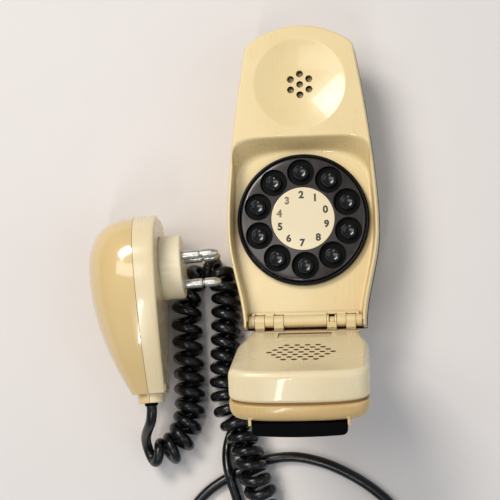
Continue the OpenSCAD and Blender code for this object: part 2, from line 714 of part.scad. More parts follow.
module flap_outer_shell() {
    color(ivory) flap_pose() difference() {
        union() {
            difference() {
                skin([outer_level(0, 0, 0), outer_level(0.1, 1, 5.4), outer_level(0.7, 1, 3.3),
                    outer_level(2, 1, 1.4), outer_level(4.2, 1, 0.3), outer_level(7, 1, 0)]);
                skin([outer_level(2.4, 0, 1), outer_level(2.6, 1, 4.4), outer_level(5, 1, 2.2)]);
            }
            // the raised socket that the foot sits in
            for (k = [0 : 3]) hull() for (q = [k, (k + 1) % 4])
                translate([socket[q].x, socket[q].y, seam_tip + 1])
                    cylinder(h = (k == 2 ? socket_low : socket_top) - seam_tip - 1,
                        r = socket_wall / 2, $fn = 12);
            for (p = flap_screw_spots) hull() {
                translate([p.x, p.y, flap_seam(p.y)]) cylinder(h = 3, r = 3, $fn = 18);
                translate([p.x, p.y, flap_out(p.y) - 2.2]) cylinder(h = 1, r = 3.4, $fn = 18);
            }
        }
        for (p = flap_screw_spots) {
            translate([p.x, p.y, 0]) cylinder(h = 60, r = 1.6, $fn = 16);
            translate([p.x, p.y, flap_out(p.y) - 3.4]) cylinder(h = 20, r = 2.9, $fn = 20);
        }
    }
}

module flap_foot() {
    slope = atan((out_tip - out_root) / (flap_len - flap_root));
    color(black) flap_pose() difference() {
        // a bar whose outer face is crowned across its width
        intersection() {
            translate([-foot_w / 2, foot_from, out_root]) cube([foot_w, foot_to - foot_from, 30]);
            translate([0, flap_len, out_tip + foot_rise - foot_crown]) rotate([90, 0, 0])
                cylinder(h = 40, r = foot_crown);
        }
        // it stands on the sloping outer face
        translate([0, flap_root, out_root]) rotate([slope, 0, 0])
            translate([-50, -10, -40]) cube([100, 120, 40]);
    }
}

module microphone_capsule() {
    color(steel) flap_pose() translate([0, grille_s, 0]) rotate_extrude()
        polygon([[0, 8.4], [18.5, 8.4], [18.5, 12.4], [12, 14.4], [0, 14.4]]);
}

module microphone_seal() {
    color(black) flap_pose() translate([0, grille_s, 6.5]) difference() {
        cylinder(h = 1.7, r = 20);
        translate([0, 0, -1]) cylinder(h = 5, r = 18.6);
    }
}

module flap_screws() {
    color(steel) flap_pose() for (p = flap_screw_spots) translate([p.x, p.y, 0]) {
        translate([0, 0, face_n + 3.5]) cylinder(h = flap_out(p.y) - 3.3 - face_n - 3.5, r = 1.35);
        translate([0, 0, flap_out(p.y) - 3.4]) difference() {
            cylinder(h = 1.8, r = 2.6);
            translate([-3, -0.35, 1]) cube([6, 0.7, 2]);
        }
    }
}

module flap_hinge_block() {
    color(ivory) flap_pose() difference() {
        union() {
            // the barrel is cut away where the plunger runs on the cam
            difference() {
                segments([1, 3, 5, 7]);
                translate([cam_x - cam_w / 2 - 0.1, 0, 0]) rotate([90, 0, 90])
                    linear_extrude(cam_w + 0.2) polygon(concat([[0, 0]],
                        [for (a = [-100 : 10 : 60]) ring_point(6, a - open_angle)]));
            }
            translate([cam_x - cam_w / 2, 0, 0]) rotate([90, 0, 90])
                translate(cam_e * [cos(cam_at - open_angle), sin(cam_at - open_angle), 0])
                    cylinder(h = cam_w, r = cam_r);
            for (i = [1, 3, 5, 7])
                translate([seg_start(i) + gap / 2, -1.5, 0]) cube([seg_w[i] - gap, flap_root + 1.4, 4.8]);
            translate([-29, 1.2, 4.7]) cube([58, flap_root - 1.2, 7.3]);
        }
        translate([-40, 0, 0]) rotate([0, 90, 0]) cylinder(h = 80, r = pin_axle_r + run);
    }
}

// ---- the cord ----

module cord_lead() {
    color(black) tube(lead_route, [for (p = lead_route) cord_d / 2], 8);
}

// how tight the curls are at each point of their route
function coil_radius(p) = mix(coil_tight, coil_d / 2, smooth((p.z - 7.9) / 1.5));

module curly_cord() {
    color(black) tube(coil_route, [for (p = coil_route) coil_radius(p)], 12);
}

module cord_tail() {
    color(black) tube(tail_route, [for (p = tail_route) cord_d / 2], 8);
}

// ---- the wall plug, drawn upright: +X along its pins, +Y to its round end ----

function plug_w(v) = v > -2
    ? plug_half * pow(max(0, 1 - pow((v + 2) / (plug_top + 2), 2.4)), 1 / 2.4)
    : plug_half - (plug_half - 10) * pow((-2 - v) / (-2 - plug_end), 1.7);
function dome_d(v) = v > -4
    ? dome_h * pow(max(0, 1 - pow((v + 4) / (plug_top + 4), 2.6)), 1 / 2.6)
    : dome_h - (dome_h - 9.8) * pow((-4 - v) / (-4 - plug_end), 1.9);
function base_d(v) = mix(base_top, base_end, (plug_top - v) / (plug_top - plug_end));
plug_stations = concat([plug_end], [for (v = [-60 : 10 : 10]) v], [16, 20, 23.5, 26, 27.8, 28.7, 28.97]);

// a point on the line that the plug's cord leaves along
function plug_axis_at(v) = [plug_x - v * sin(plug_turn), plug_y + v * cos(plug_turn), plug_lift];

module plug_pose() {
    translate([plug_x, plug_y, plug_lift]) rotate([0, 0, plug_turn]) rotate([0, plug_dip, 0]) children();
}

// a station of the dome, closed along the seam
function dome_ring(v, inset) =
    let (w = max(0.05, plug_w(v) - inset), d = max(0.05, dome_d(v) - inset))
    [for (p = backwards(mirrored(corner(w, d, 2.3, 6)))) [-p.y, v, p.x]];
function base_outline(inset) = mirrored([for (v = plug_stations) [max(0.02, plug_w(v) - inset), v]]);
function base_ring(inset, t) =
    [for (p = backwards(base_outline(inset)))
        [t * base_d(p.y), max(plug_end + (inset > 2 ? 2 : 0), min(p.y, plug_top - inset)), p.x]];

module plug_collar(from_u, to_u) {
    // half of the collar that grips the cord
    intersection() {
        translate([0, plug_end + 0.5, 0]) rotate([90, 0, 0]) difference() {
            translate([0.3, 0, 0]) cylinder(h = collar_len, r = 7.2);
            translate([0, 0, -1]) cylinder(h = 20, r = 3.7);
        }
        translate([from_u, plug_end - 20, -20]) cube([to_u - from_u, 40, 40]);
    }
}

module plug_cover() {
    color(ivory) plug_pose() difference() {
        union() {
            difference() {
                skin([for (v = plug_stations) dome_ring(v, 0)]);
                skin([for (v = plug_stations) if (v > plug_end + 1 && v < 27)
                    [for (p = dome_ring(v, plug_wall)) [p.x + (p.x > -0.01 ? 0.5 : 0), p.y, p.z]]]);
            }
            plug_collar(-9, 0);
            translate([-18.5, screw_v, 0]) rotate([0, 90, 0]) cylinder(h = 18, r = 3.4);
            // ribs that stiffen the dome
            intersection() {
                skin([for (v = plug_stations) dome_ring(v, 0.5)]);
                for (v = [-50 : 12 : 22]) hull() {
                    translate([-40, v, -plug_half]) cube([40, 1, 3.4 + plug_half - plug_w(v)]);
                    translate([-40, v + 0.2, -plug_half]) cube([40, 0.6, 3.8 + plug_half - plug_w(v)]);
                }
            }
        }
        translate([0, plug_end + 8, 0]) rotate([90, 0, 0]) cylinder(h = 20, r = 3.7, $fn = 24);
        translate([-8, screw_v, 0]) rotate([0, 90, 0]) cylinder(h = 10, r = 1.45);
    }
}

module plug_base() {
    color(ivory) plug_pose() difference() {
        union() {
            skin([base_ring(0, 0), base_ring(0.4, 0.75), base_ring(1.2, 0.93), base_ring(1.9, 1)]);
            plug_collar(0, 9);
            // round seat below the pin carrier
            translate([base_end - 1, 0, 0]) rotate([0, 90, 0])
                cylinder(h = carrier_from - base_end + 0.95, r = carrier_r);
            // lip at the cord end
            translate([base_end - 3.2, plug_end + 1.5, -9]) cube([3.6, 3, 18]);
        }
        skin([base_ring(plug_wall + 0.4, -0.1), base_ring(plug_wall + 1, 0.8)]);
        translate([0, plug_end + 8, 0]) rotate([90, 0, 0]) cylinder(h = 20, r = 3.7);
        // seat of the pin carrier, and the screw's hole
        rotate([0, 90, 0]) cylinder(h = 20, r = 14);
        translate([-5, screw_v, 0]) rotate([0, 90, 0]) cylinder(h = 30, r = 1.7);
        translate([screw_head, screw_v, 0]) rotate([0, 90, 0]) cylinder(h = 5, r = 3);
    }
}

module pin_carrier() {
    color(pale_ivory) plug_pose() difference() {
        rotate([0, 90, 0]) union() {
            translate([0, 0, carrier_from]) rotate_extrude() polygon([[0, 0], [carrier_r, 0],
                [carrier_r, carrier_to - carrier_from - 1], [carrier_r - 1, carrier_to - carrier_from],
                [0, carrier_to - carrier_from]]);
            translate([0, 0, 6]) cylinder(h = 6, r = 13.9);
        }
        for (a = [60, 180, 300]) translate([0, pin_circle / 2 * cos(a), pin_circle / 2 * sin(a)])
            rotate([0, 90, 0]) cylinder(h = 40, r = pin_r - 0.58);
    }
}

module plug_pins() {
    color(steel) plug_pose() for (a = [60, 180, 300])
        translate([0, pin_circle / 2 * cos(a), pin_circle / 2 * sin(a)]) rotate([0, 90, 0]) difference() {
            rotate_extrude() polygon([[0, 3], [pin_r - 0.6, 3], [pin_r - 0.6, carrier_to],
                [pin_r, carrier_to], [pin_r, 33], [pin_r - 0.9, 33.6], [pin_r - 0.9, 34.2], [pin_r, 34.8], [pin_r, 40.2],
                [1.3, pin_tip - 0.3], [0.9, pin_tip], [0, pin_tip]]);
            translate([-0.3, -4, 35]) cube([0.6, 8, 12]);
        }
}

armature_y = 12;            // the armature's axle from the carrier's centre
ringer_x = -14;

module ringer_frame() {
    color(steel) plug_pose() {
        for (z = [-16.5, 15]) translate([ringer_x - 4, -16.5, z]) cube([8, 32, 1.5]);
        translate([ringer_x - 4, -18, -16.5]) cube([25, 1.6, 33]);
        translate([ringer_x, armature_y, -15.5]) cylinder(h = 31, r = 1);
    }
}

module ringer_coil() {
    color(copper) plug_pose() translate([ringer_x, -7, -15]) {
        for (z = [0, 28]) translate([0, 0, z]) cylinder(h = 2, r = 8);
        cylinder(h = 30, r = 4.5);
        translate([0, 0, 2]) cylinder(h = 26, r = 7);
    }
}

module ringer_armature() {
    color(steel) plug_pose() translate([ringer_x, armature_y, 0]) difference() {
        union() {
            translate([0, 0, -14.8]) cylinder(h = 29.6, r = 2.2);
            translate([-2, -10, 12.6]) cube([4, 10, 1.6]);
            translate([-1.5, 0, -2]) cube([3, 9, 4]);
        }
        translate([0, 0, -20]) cylinder(h = 40, r = 1 + run);
    }
}

module ringer_capacitor() {
    color(brass) plug_pose() translate([-10, -42, -7]) cube([8, 22, 14]);
}

module plug_screw() {
    color(steel) plug_pose() translate([0, screw_v, 0]) rotate([0, 90, 0]) {
        translate([0, 0, -7.5]) cylinder(h = screw_head + 8, r = 1.4);
        translate([0, 0, screw_head]) cylinder(h = 1.2, r = 2.8);
    }
}

module plug_strain_relief() {
    color(black) plug_pose() translate([0, plug_end + 10, 0]) rotate([90, 0, 0]) difference() {
        union() {
            cylinder(h = plug_end + 10 - sleeve_end, r = 3.6);
            cylinder(h = 1.5, r = 4.6);
        }
        translate([0, 0, -1]) cylinder(h = 13, r = 1.4);
    }
}

front_shell();
back_shell();
shell_screws();
receiver_capsule();
receiver_seal();
circuit_board();
speech_transformer();
board_capacitor();
terminal_strip();
body_hinge_block();
hinge_pin();
hinge_spring();
hook_plunger();
hook_switch();
body_strain_relief();
dial_bezel();
dial_plate();
dial_bush();
dial_screws();
stop_lug();
return_spring();
governor_cup();
governor_spindle();
pulse_contacts();
finger_wheel();
number_disc();
wheel_screw();
dial_shaft();
main_gear();
button_springs();
finger_button(9);  // finger_button_1
finger_button(0);  // finger_button_2
finger_button(1);  // finger_button_3
finger_button(2);  // finger_button_4
finger_button(3);  // finger_button_5
finger_button(4);  // finger_button_6
finger_button(5);  // finger_button_7
finger_button(6);  // finger_button_8
finger_button(7);  // finger_button_9
finger_button(8);  // finger_button_0
flap_hinge_block();
flap_inner_shell();
flap_outer_shell();
flap_foot();
microphone_capsule();
microphone_seal();
flap_screws();
cord_lead();
curly_cord();
cord_tail();
plug_cover();
plug_base();
pin_carrier();
plug_pins();
ringer_frame();
ringer_coil();
ringer_armature();
ringer_capacitor();
plug_screw();
plug_strain_relief();
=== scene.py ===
from math import ceil, cos, pi, radians, sin, sqrt

import bmesh
import bpy
from mathutils import Matrix, Vector


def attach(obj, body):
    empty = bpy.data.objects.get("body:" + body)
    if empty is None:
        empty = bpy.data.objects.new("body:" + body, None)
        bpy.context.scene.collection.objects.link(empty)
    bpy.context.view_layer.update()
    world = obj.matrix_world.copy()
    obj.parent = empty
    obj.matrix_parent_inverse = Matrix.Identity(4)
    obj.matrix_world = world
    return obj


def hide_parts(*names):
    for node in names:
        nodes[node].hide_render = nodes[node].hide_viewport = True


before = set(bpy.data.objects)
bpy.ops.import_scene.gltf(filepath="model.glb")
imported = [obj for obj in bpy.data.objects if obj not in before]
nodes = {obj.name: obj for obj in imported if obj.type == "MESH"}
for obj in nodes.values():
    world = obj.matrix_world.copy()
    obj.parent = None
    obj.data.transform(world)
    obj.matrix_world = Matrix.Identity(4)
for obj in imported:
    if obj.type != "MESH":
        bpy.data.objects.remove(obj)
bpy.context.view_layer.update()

# Lengths below are millimetres. finish_piece() turns them into metres.
MM = 0.001


# ---- camera ----

camera_data = bpy.data.cameras.new("camera")
camera_data.sensor_width = 36
camera_data.lens = 92.74
camera_data.clip_end = 10
camera = bpy.data.objects.new("camera", camera_data)
camera.location = (0.040, -0.0996, 0.7311)
camera.rotation_euler = (radians(6.73), radians(5.82), radians(-0.95))
bpy.context.collection.objects.link(camera)
bpy.context.scene.camera = camera


# ---- shared numbers ----

CORD_R = 2.85
PHONE_EXIT = (-24, -76, 24)      # where the cord leaves the phone's strain relief
HINGE = Vector((0, -55.5, 36))
OPEN = radians(107)
FACE_N, FLAP_LEN, FLAP_ROOT = 4.5, 86.0, 3.6
PLUG_TOP, PLUG_END, PLUG_HALF = 29.0, -68.0, 34
PLUG_DIP = radians(3)
PIN_RING, PIN_TURNS = 10, (60, 180, 300)
flap_pose = Matrix.Translation(HINGE) @ Matrix.Rotation(OPEN, 4, "X")
plug_pose = (
    Matrix.Translation((-90.1, -25.3, PLUG_HALF * cos(PLUG_DIP) + 0.05))
    @ Matrix.Rotation(radians(4), 4, "Z")
    @ Matrix.Rotation(PLUG_DIP, 4, "Y")
)
# these turn a spun shape's axis from Z
along_x = Matrix.Rotation(radians(90), 4, "Y")
along_minus_y = Matrix.Rotation(radians(90), 4, "X")


def mix(a, b, t):
    return a + (b - a) * t


def smooth(t):
    t = max(0.0, min(1.0, t))
    return t * t * (3 - 2 * t)


# ---- cord ----

def curve_through(points, step):
    """Points about `step` apart on a smooth curve through the given ones."""
    points = [Vector(p) for p in points]
    ends = [2 * points[0] - points[1]] + points + [2 * points[-1] - points[-2]]
    out = []
    for i in range(1, len(ends) - 2):
        a, b, c, d = ends[i - 1 : i + 3]
        n = max(1, ceil((c - b).length / step))
        for k in range(n):
            t = k / n
            out.append(
                0.5 * (2 * b + (c - a) * t + (2 * a - 5 * b + 4 * c - d) * t**2
                       + (3 * b - a - 3 * c + d) * t**3)
            )
    return out + [points[-1]]


lead_route = [
    PHONE_EXIT, (-24, -78, 24), (-25, -84, 21.5), (-28.5, -92, 14), (-34, -99.5, 6.5), (-40, -107, 3),
    (-44.5, -114.5, 2.9), (-47.2, -123, 3.4), (-47.3, -131, 6.5), (-45.5, -139.5, 8.9),
    (-42.8, -149, 6.5), (-40.5, -160, 3.2), (-43, -172.5, 2.9), (-52, -181.5, 2.9),
    (-63, -180, 2.9), (-69.5, -170.5, 2.9), (-67.5, -158.5, 2.9), (-60.5, -149.5, 2.9),
    (-51.5, -142.8, 2.9), (-40.5, -137, 2.9), (-26, -131, 2.9), (-10, -129.3, 2.9),
    (6.5, -132.8, 2.9), (21.5, -139.6, 2.9), (35, -148.5, 2.9), (45.5, -159, 2.9),
    (49.5, -172, 2.9), (43.5, -184, 2.9), (30, -190, 2.9), (12, -191, 3.5),
    (-4, -188, 5), (-12.5, -182.5, 7), (-16.8, -175.5, 8.6), (-19.5, -167.5, 9.35),
]
coil_route = [
    (-19.5, -167.5, 9.35), (-22.5, -160, 9.55), (-26, -152, 10.4), (-29.5, -144, 13),
    (-32, -136, 15.2), (-34.2, -127.5, 15.6), (-37.4, -117, 15.8), (-41.5, -109, 15.6),
    (-45, -102, 13.8), (-46.9, -94, 11), (-47.2, -84, 9.65), (-46.8, -72, 9.45),
    (-46.3, -60, 9.45), (-46, -48, 9.45), (-46, -38, 9.35), (-47.6, -29.5, 9),
    (-52, -23.6, 8.1), (-57.6, -22.6, 7.9), (-62.4, -26.6, 7.9), (-66, -34, 8),
    (-68.6, -42.5, 8.75), (-68.6, -52, 9.25), (-68.3, -63, 9.35), (-67.8, -76, 9.35),
    (-67.4, -90, 9.35), (-67.4, -102, 9.45), (-70, -113, 9.65), (-76, -122, 9.9),
    (-84, -126.5, 10.4), (-91, -124.6, 11), (-93.4, -118, 13),
]
tail_route = [
    (-93.4, -118, 13), (-91.2, -115.5, 19), (-88.3, -112.5, 26), (-85.6, -108, 32),
    (-84.76, -101.6, 34), (-84.9, -99.62, 34),
]
TURN_POINTS = 22


def coil_pitch(p):
    """Distance from one turn to the next at a point of the coil's middle line."""
    if p.x > -55:
        return 7.9
    return mix(8.4, 9.8, smooth((p.y + 95) / 50))


def curls(route):
    """The curled stretch: turns round the route, tight where it passes below the plug."""
    middle = curve_through(route, 0.25)
    length = sum((b - a).length for a, b in zip(middle, middle[1:]))
    out, done, angle, last = [], 0.0, radians(200), None
    for a, b in zip(middle, middle[1:]):
        forward = (b - a).normalized()
        side = forward.cross(Vector((0, 0, 1))).normalized()
        up = side.cross(forward)
        outer = mix(7.4, 9.0, smooth((a.z - 7.9) / 1.5))
        opening_out = smooth(done / 15) * smooth((length - done) / 15)
        reach = (outer - CORD_R) * opening_out
        if last is None or angle - last >= 2 * pi / TURN_POINTS:
            out.append(a + reach * (cos(angle) * side + sin(angle) * up))
            last = angle
        step = (b - a).length
        done += step
        angle += 2 * pi * step / mix(45, coil_pitch(a), opening_out)
    return out


def eased(points, joins, reach=12):
    """Drops crowded points, then rounds off the line for `reach` points on both sides of each join."""
    kept = [points[0]]
    for p in points[1:]:
        if (p - kept[-1]).length > 1.0:
            kept.append(p)
    kept[-1] = points[-1]
    for join_at in joins:
        middle = min(range(len(kept)), key=lambda i: (kept[i] - join_at).length)
        for _ in range(24):
            old = list(kept)
            for i in range(max(2, middle - reach), min(len(kept) - 2, middle + reach)):
                share = 0.5 * smooth((reach - abs(i - middle)) / reach * 2)
                kept[i] = old[i].lerp((old[i - 1] + old[i + 1]) / 2, share)
    return kept


cord_points = eased(
    curve_through(lead_route, 2.5)[:-1] + curls(coil_route) + curve_through(tail_route, 2.5)[1:],
    [Vector(coil_route[0]), Vector(coil_route[-1])])
cord_length = sum((b - a).length for a, b in zip(cord_points, cord_points[1:])) * MM
cord_line = bpy.data.curves.new("cord_line", "CURVE")
cord_line.dimensions = "3D"
cord_line.bevel_depth = CORD_R * MM
cord_line.bevel_resolution = 4
cord_line.use_fill_caps = True
run_of_cord = cord_line.splines.new("POLY")
run_of_cord.points.add(len(cord_points) - 1)
for spot, p in zip(run_of_cord.points, cord_points):
    spot.co = (*(p * MM), 1)
run_of_cord.use_smooth = True
line_object = bpy.data.objects.new("cord_line", cord_line)
bpy.context.collection.objects.link(line_object)
bpy.context.view_layer.update()
cord_mesh = bpy.data.meshes.new_from_object(line_object.evaluated_get(bpy.context.evaluated_depsgraph_get()))
cord_mesh.name = "cord"
cord_mesh.materials.clear()
bpy.data.objects.remove(line_object)
cord = bpy.data.objects.new("cord", cord_mesh)
bpy.context.collection.objects.link(cord)
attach(cord, "body")
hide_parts("cord_lead", "curly_cord", "cord_tail")


# ---- shader maths ----

class Value:
    """A socket or a number of a material, with arithmetic that adds Math nodes."""

    def __init__(self, maker, socket):
        self.maker, self.socket = maker, socket

    def _math(self, operation, *terms):
        return self.maker.add("ShaderNodeMath", {"operation": operation}, *terms)

    def __add__(self, other): return self._math("ADD", self, other)
    def __sub__(self, other): return self._math("SUBTRACT", self, other)
    def __rsub__(self, other): return self._math("SUBTRACT", other, self)
    def __mul__(self, other): return self._math("MULTIPLY", self, other)

    def clamp(self):
        return self._math("MINIMUM", self._math("MAXIMUM", self, 0.0), 1.0)


class Finish:
    def __init__(self, name):
        self.material = bpy.data.materials.new(name)
        self.material.use_nodes = True
        self.tree = self.material.node_tree
        self.shader = self.tree.nodes["Principled BSDF"]
        self.place = self.add("ShaderNodeTexCoord", {}, out="Object")

    def add(self, kind, settings, *terms, out=0, **named):
        node = self.tree.nodes.new(kind)
        for key, setting in settings.items():
            if key == "stops":
                ramp = node.color_ramp.elements
                while len(ramp) < len(setting):
                    ramp.new(0.5)
                for stop, (at, colour) in zip(ramp, setting):
                    stop.position = at
                    stop.color = colour if isinstance(colour, tuple) else (colour,) * 3 + (1,)
            else:
                setattr(node, key, setting)
        for key, term in list(enumerate(terms)) + [(k.replace("_", " "), t) for k, t in named.items()]:
            self.put(node.inputs[key], term)
        return Value(self, node.outputs[out])

    def put(self, socket, term):
        if isinstance(term, Value):
            self.tree.links.new(term.socket, socket)
        else:
            socket.default_value = term

    def noise(self, scale, detail=2.0, rough=0.5, place=None):
        return self.add("ShaderNodeTexNoise", {}, Vector=place or self.place, Scale=scale,
                        Detail=detail, Roughness=rough)

    def ramp(self, term, *stops):
        return self.add("ShaderNodeValToRGB", {"stops": stops}, term)

    def blend(self, amount, a, b):
        """Colour a where amount is 0, colour b where it is 1."""
        node = self.tree.nodes.new("ShaderNodeMix")
        node.data_type = "RGBA"
        self.put(node.inputs["Factor"], amount)
        self.put(node.inputs[6], a)
        self.put(node.inputs[7], b)
        return Value(self, node.outputs[2])

    def bump(self, height, strength, distance):
        return self.add("ShaderNodeBump", {}, Height=height, Strength=strength, Distance=distance)

    def crevice(self, reach):
        """1 deep in a corner or gap, 0 in the open."""
        open_air = self.add("ShaderNodeAmbientOcclusion", {"samples": 6}, Distance=reach, out="AO")
        return 1 - open_air

    def stretched(self, x, y, z, turn=0.0):
        return self.add("ShaderNodeMapping", {}, Vector=self.place, Rotation=(0, 0, turn), Scale=(x, y, z))

    def finish(self, **sockets):
        for key, term in sockets.items():
            self.put(self.shader.inputs[key.replace("_", " ")], term)
        return self.material


def rgb(r, g, b):
    return (r, g, b, 1.0)


def aged_plastic(name, clean, tanned, grime_and_shade=0.75, rough=0.24, walls=0.0, coat=0.3):
    """Moulded plastic that has yellowed, with fine rubbing; corners and gaps are darkened brown, which is dirt
    and painted shade at once, and upright walls in broad hollows are browned, which is painted shade.
    """
    f = Finish(name)
    tan = f.ramp(f.noise(14, 3, 0.6), (0.35, 0.0), (0.72, 1.0))
    colour = f.blend(tan * 0.55, clean, tanned)
    # painted shade: upright faces inside broad hollows are browned towards rgb(0.46, 0.23, 0.035), standing in
    # for the shade on the recess walls
    facing = f.add("ShaderNodeSeparateXYZ", {}, f.add("ShaderNodeTexCoord", {}, out="Normal"), out="Z")
    upright = f.ramp(facing * facing, (0.1, 1.0), (0.6, 0.0))
    hollow = f.ramp(f.crevice(0.02), (0.2, 0.0), (0.6, 1.0))
    colour = f.blend((upright * hollow * walls).clamp(), colour, rgb(0.46, 0.23, 0.035))
    freckle = f.ramp(f.noise(900, 2), (0.70, 0.0), (0.78, 1.0)) * f.ramp(f.noise(60, 2), (0.5, 0.0), (0.7, 1.0))
    colour = f.blend(freckle * 0.35, colour, rgb(0.23, 0.14, 0.06))
    # dirt and painted shade: within 1.6 mm of a corner or gap the colour turns dark brown, in patches
    corner = f.ramp(f.crevice(0.0016), (0.3, 0.0), (0.65, 1.0))
    patchy = f.ramp(f.noise(120, 4, 0.7), (0.3, 0.25), (0.7, 1.0))
    colour = f.blend((corner * patchy * grime_and_shade).clamp(), colour, rgb(0.12, 0.055, 0.018))
    rubbed = f.ramp(f.noise(700, 3, 0.7, f.stretched(1, 0.06, 1, 0.5)), (0.45, 0.0), (0.75, 1.0))
    smear = f.ramp(f.noise(45, 4, 0.65), (0.35, 0.0), (0.7, 1.0))
    waves = f.noise(55, 1) * 0.6 + f.noise(1400, 2) * 0.05
    return f.finish(
        Base_Color=colour,
        Roughness=(rubbed * 0.07 + smear * 0.10 + corner * 0.3 + rough).clamp(),
        Normal=f.bump(waves, 0.12, 0.0006),
        Specular_IOR_Level=0.5, Coat_Weight=coat, Coat_Roughness=0.06,
        Subsurface_Weight=0.08, Subsurface_Radius=(0.004, 0.003, 0.0015), Subsurface_Scale=0.5,
    )


def black_plastic(name, colour=rgb(0.003, 0.0028, 0.0028), dust=rgb(0.06, 0.048, 0.04), rough=0.2, worn=1.0,
                  gloss=0.4):
    """Glossy black moulding with brownish dust and hair scratches."""
    f = Finish(name)
    haze = f.ramp(f.noise(55, 5, 0.7), (0.42, 0.0), (0.72, 1.0))
    scratch = f.ramp(f.noise(900, 2, 0.8, f.stretched(1, 0.05, 1, 1.0)), (0.62, 0.0), (0.72, 1.0))
    return f.finish(
        Base_Color=f.blend((haze * 0.35 * worn + scratch * 0.3 * worn).clamp(), colour, dust),
        Roughness=(haze * 0.16 * worn + scratch * 0.2 * worn + rough).clamp(),
        Normal=f.bump(f.noise(90, 2), 0.1, 0.0004), Specular_IOR_Level=gloss,
    )


def wheel_plastic(name):
    """Black moulding whose upper face carries a lighter brown film, partly dust and partly painted sheen; the
    wells stay plain black.
    """
    f = Finish(name)
    height = f.add("ShaderNodeSeparateXYZ", {}, f.place, out="Z")
    top = ((height - 37.9 * MM) * 4000).clamp()
    haze = f.ramp(f.noise(60, 5, 0.7), (0.3, 0.35), (0.7, 1.0))
    brushed = f.ramp(f.noise(500, 3, 0.8, f.stretched(1, 0.08, 1, 0.9)), (0.4, 0.0), (0.8, 1.0))
    # partly dust, partly painted sheen: the upper face above 37.9 mm is lightened towards brown-grey
    dust_and_sheen = top * (haze * 0.6 + brushed * 0.25)
    return f.finish(
        Base_Color=f.blend(dust_and_sheen.clamp(), rgb(0.002, 0.002, 0.002), rgb(0.075, 0.06, 0.052)),
        Roughness=(0.5 - top * 0.2 + dust_and_sheen * 0.12).clamp(),
        Normal=f.bump(f.noise(90, 2), 0.1, 0.0004), Specular_IOR_Level=0.08,
        Coat_Weight=top * 0.7, Coat_Roughness=0.17,
    )


def soft_rubber(name, colour=rgb(0.002, 0.002, 0.0022), rough=0.5):
    f = Finish(name)
    grain = f.noise(1800, 3, 0.6)
    chalk = f.ramp(f.noise(70, 4, 0.7), (0.5, 0.0), (0.8, 1.0))
    return f.finish(
        Base_Color=f.blend(chalk * 0.2, colour, rgb(0.012, 0.012, 0.011)),
        Roughness=(chalk * 0.2 + rough).clamp(),
        Normal=f.bump(grain, 0.25, 0.0002), Specular_IOR_Level=0.03,
    )


def cord_vinyl(name):
    """Shiny black cord sheath with a slight drag from the extruder."""
    f = Finish(name)
    dull = f.ramp(f.noise(40, 3, 0.6), (0.4, 0.0), (0.75, 1.0))
    return f.finish(
        Base_Color=f.blend(dull * 0.5, rgb(0.003, 0.003, 0.0035), rgb(0.014, 0.013, 0.012)),
        Roughness=(dull * 0.14 + 0.2).clamp(),
        Normal=f.bump(f.noise(260, 2), 0.12, 0.0003),
        Specular_IOR_Level=0.45,
    )


def metal(name, colour, rough=0.3, stain=rgb(0.16, 0.11, 0.06), amount=0.35):
    f = Finish(name)
    spots = f.ramp(f.noise(260, 4, 0.7), (0.5, 0.0), (0.75, 1.0))
    turned = f.noise(1600, 2, 0.6, f.stretched(0.1, 1, 1))
    return f.finish(
        Base_Color=f.blend(spots * amount, colour, stain),
        Metallic=1.0, Roughness=(spots * 0.25 + turned * 0.12 + rough).clamp(),
        Normal=f.bump(turned, 0.08, 0.0001),
    )


def printed_ink(name, colour, wear):
    f = Finish(name)
    rub = f.ramp(f.noise(900, 4, 0.7), (0.45, 0.0), (0.62, 1.0))
    return f.finish(
        Base_Color=f.blend(rub * wear, colour, rgb(0.62, 0.5, 0.32)),
        Roughness=(rub * 0.2 + 0.35).clamp(),
    )


ivory = aged_plastic("ivory_plastic", rgb(0.86, 0.68, 0.37), rgb(0.80, 0.59, 0.27), walls=0.75)
flap_ivory = aged_plastic("flap_ivory", rgb(0.83, 0.69, 0.44), rgb(0.77, 0.60, 0.33))
plug_ivory = aged_plastic("plug_ivory", rgb(0.77, 0.56, 0.26), rgb(0.70, 0.47, 0.18), rough=0.12,
                          coat=0.9)
# painted shade: a darker copy of the flap's ivory for the flap's outer shell, whose faces turn away from the
# light
outer_ivory_shaded = aged_plastic("outer_ivory_shaded", rgb(0.66, 0.45, 0.19), rgb(0.6, 0.38, 0.14))
base_ivory = aged_plastic("base_ivory", rgb(0.86, 0.71, 0.45), rgb(0.79, 0.61, 0.34), rough=0.2)
pale = aged_plastic("pale_plastic", rgb(0.86, 0.74, 0.52), rgb(0.80, 0.67, 0.43), rough=0.4)
disc_ivory = aged_plastic("disc_ivory", rgb(0.82, 0.69, 0.46), rgb(0.78, 0.63, 0.39), grime_and_shade=0.5, rough=0.35)
dial_black = black_plastic("dial_black", rough=0.3, worn=0.25, gloss=0.12)
wheel_black = wheel_plastic("wheel_black")
button_black = black_plastic("button_black", rough=0.14, worn=0.35, gloss=0.5)
# painted shade: near-black finish laid on the walls of the ear holes
ear_hole_shade = black_plastic("ear_hole_shade", rough=0.6, worn=0.3, gloss=0.1)
# dirt and painted shade: dark brown laid on the walls of the grille holes and the slot
grille_dirt_and_shade = black_plastic("grille_dirt_and_shade", rgb(0.16, 0.07, 0.02), rgb(0.3, 0.16, 0.06), 0.6, gloss=0.2)
seam_brown = black_plastic("seam_brown", rgb(0.34, 0.19, 0.06), rgb(0.42, 0.26, 0.1), 0.5, gloss=0.3)
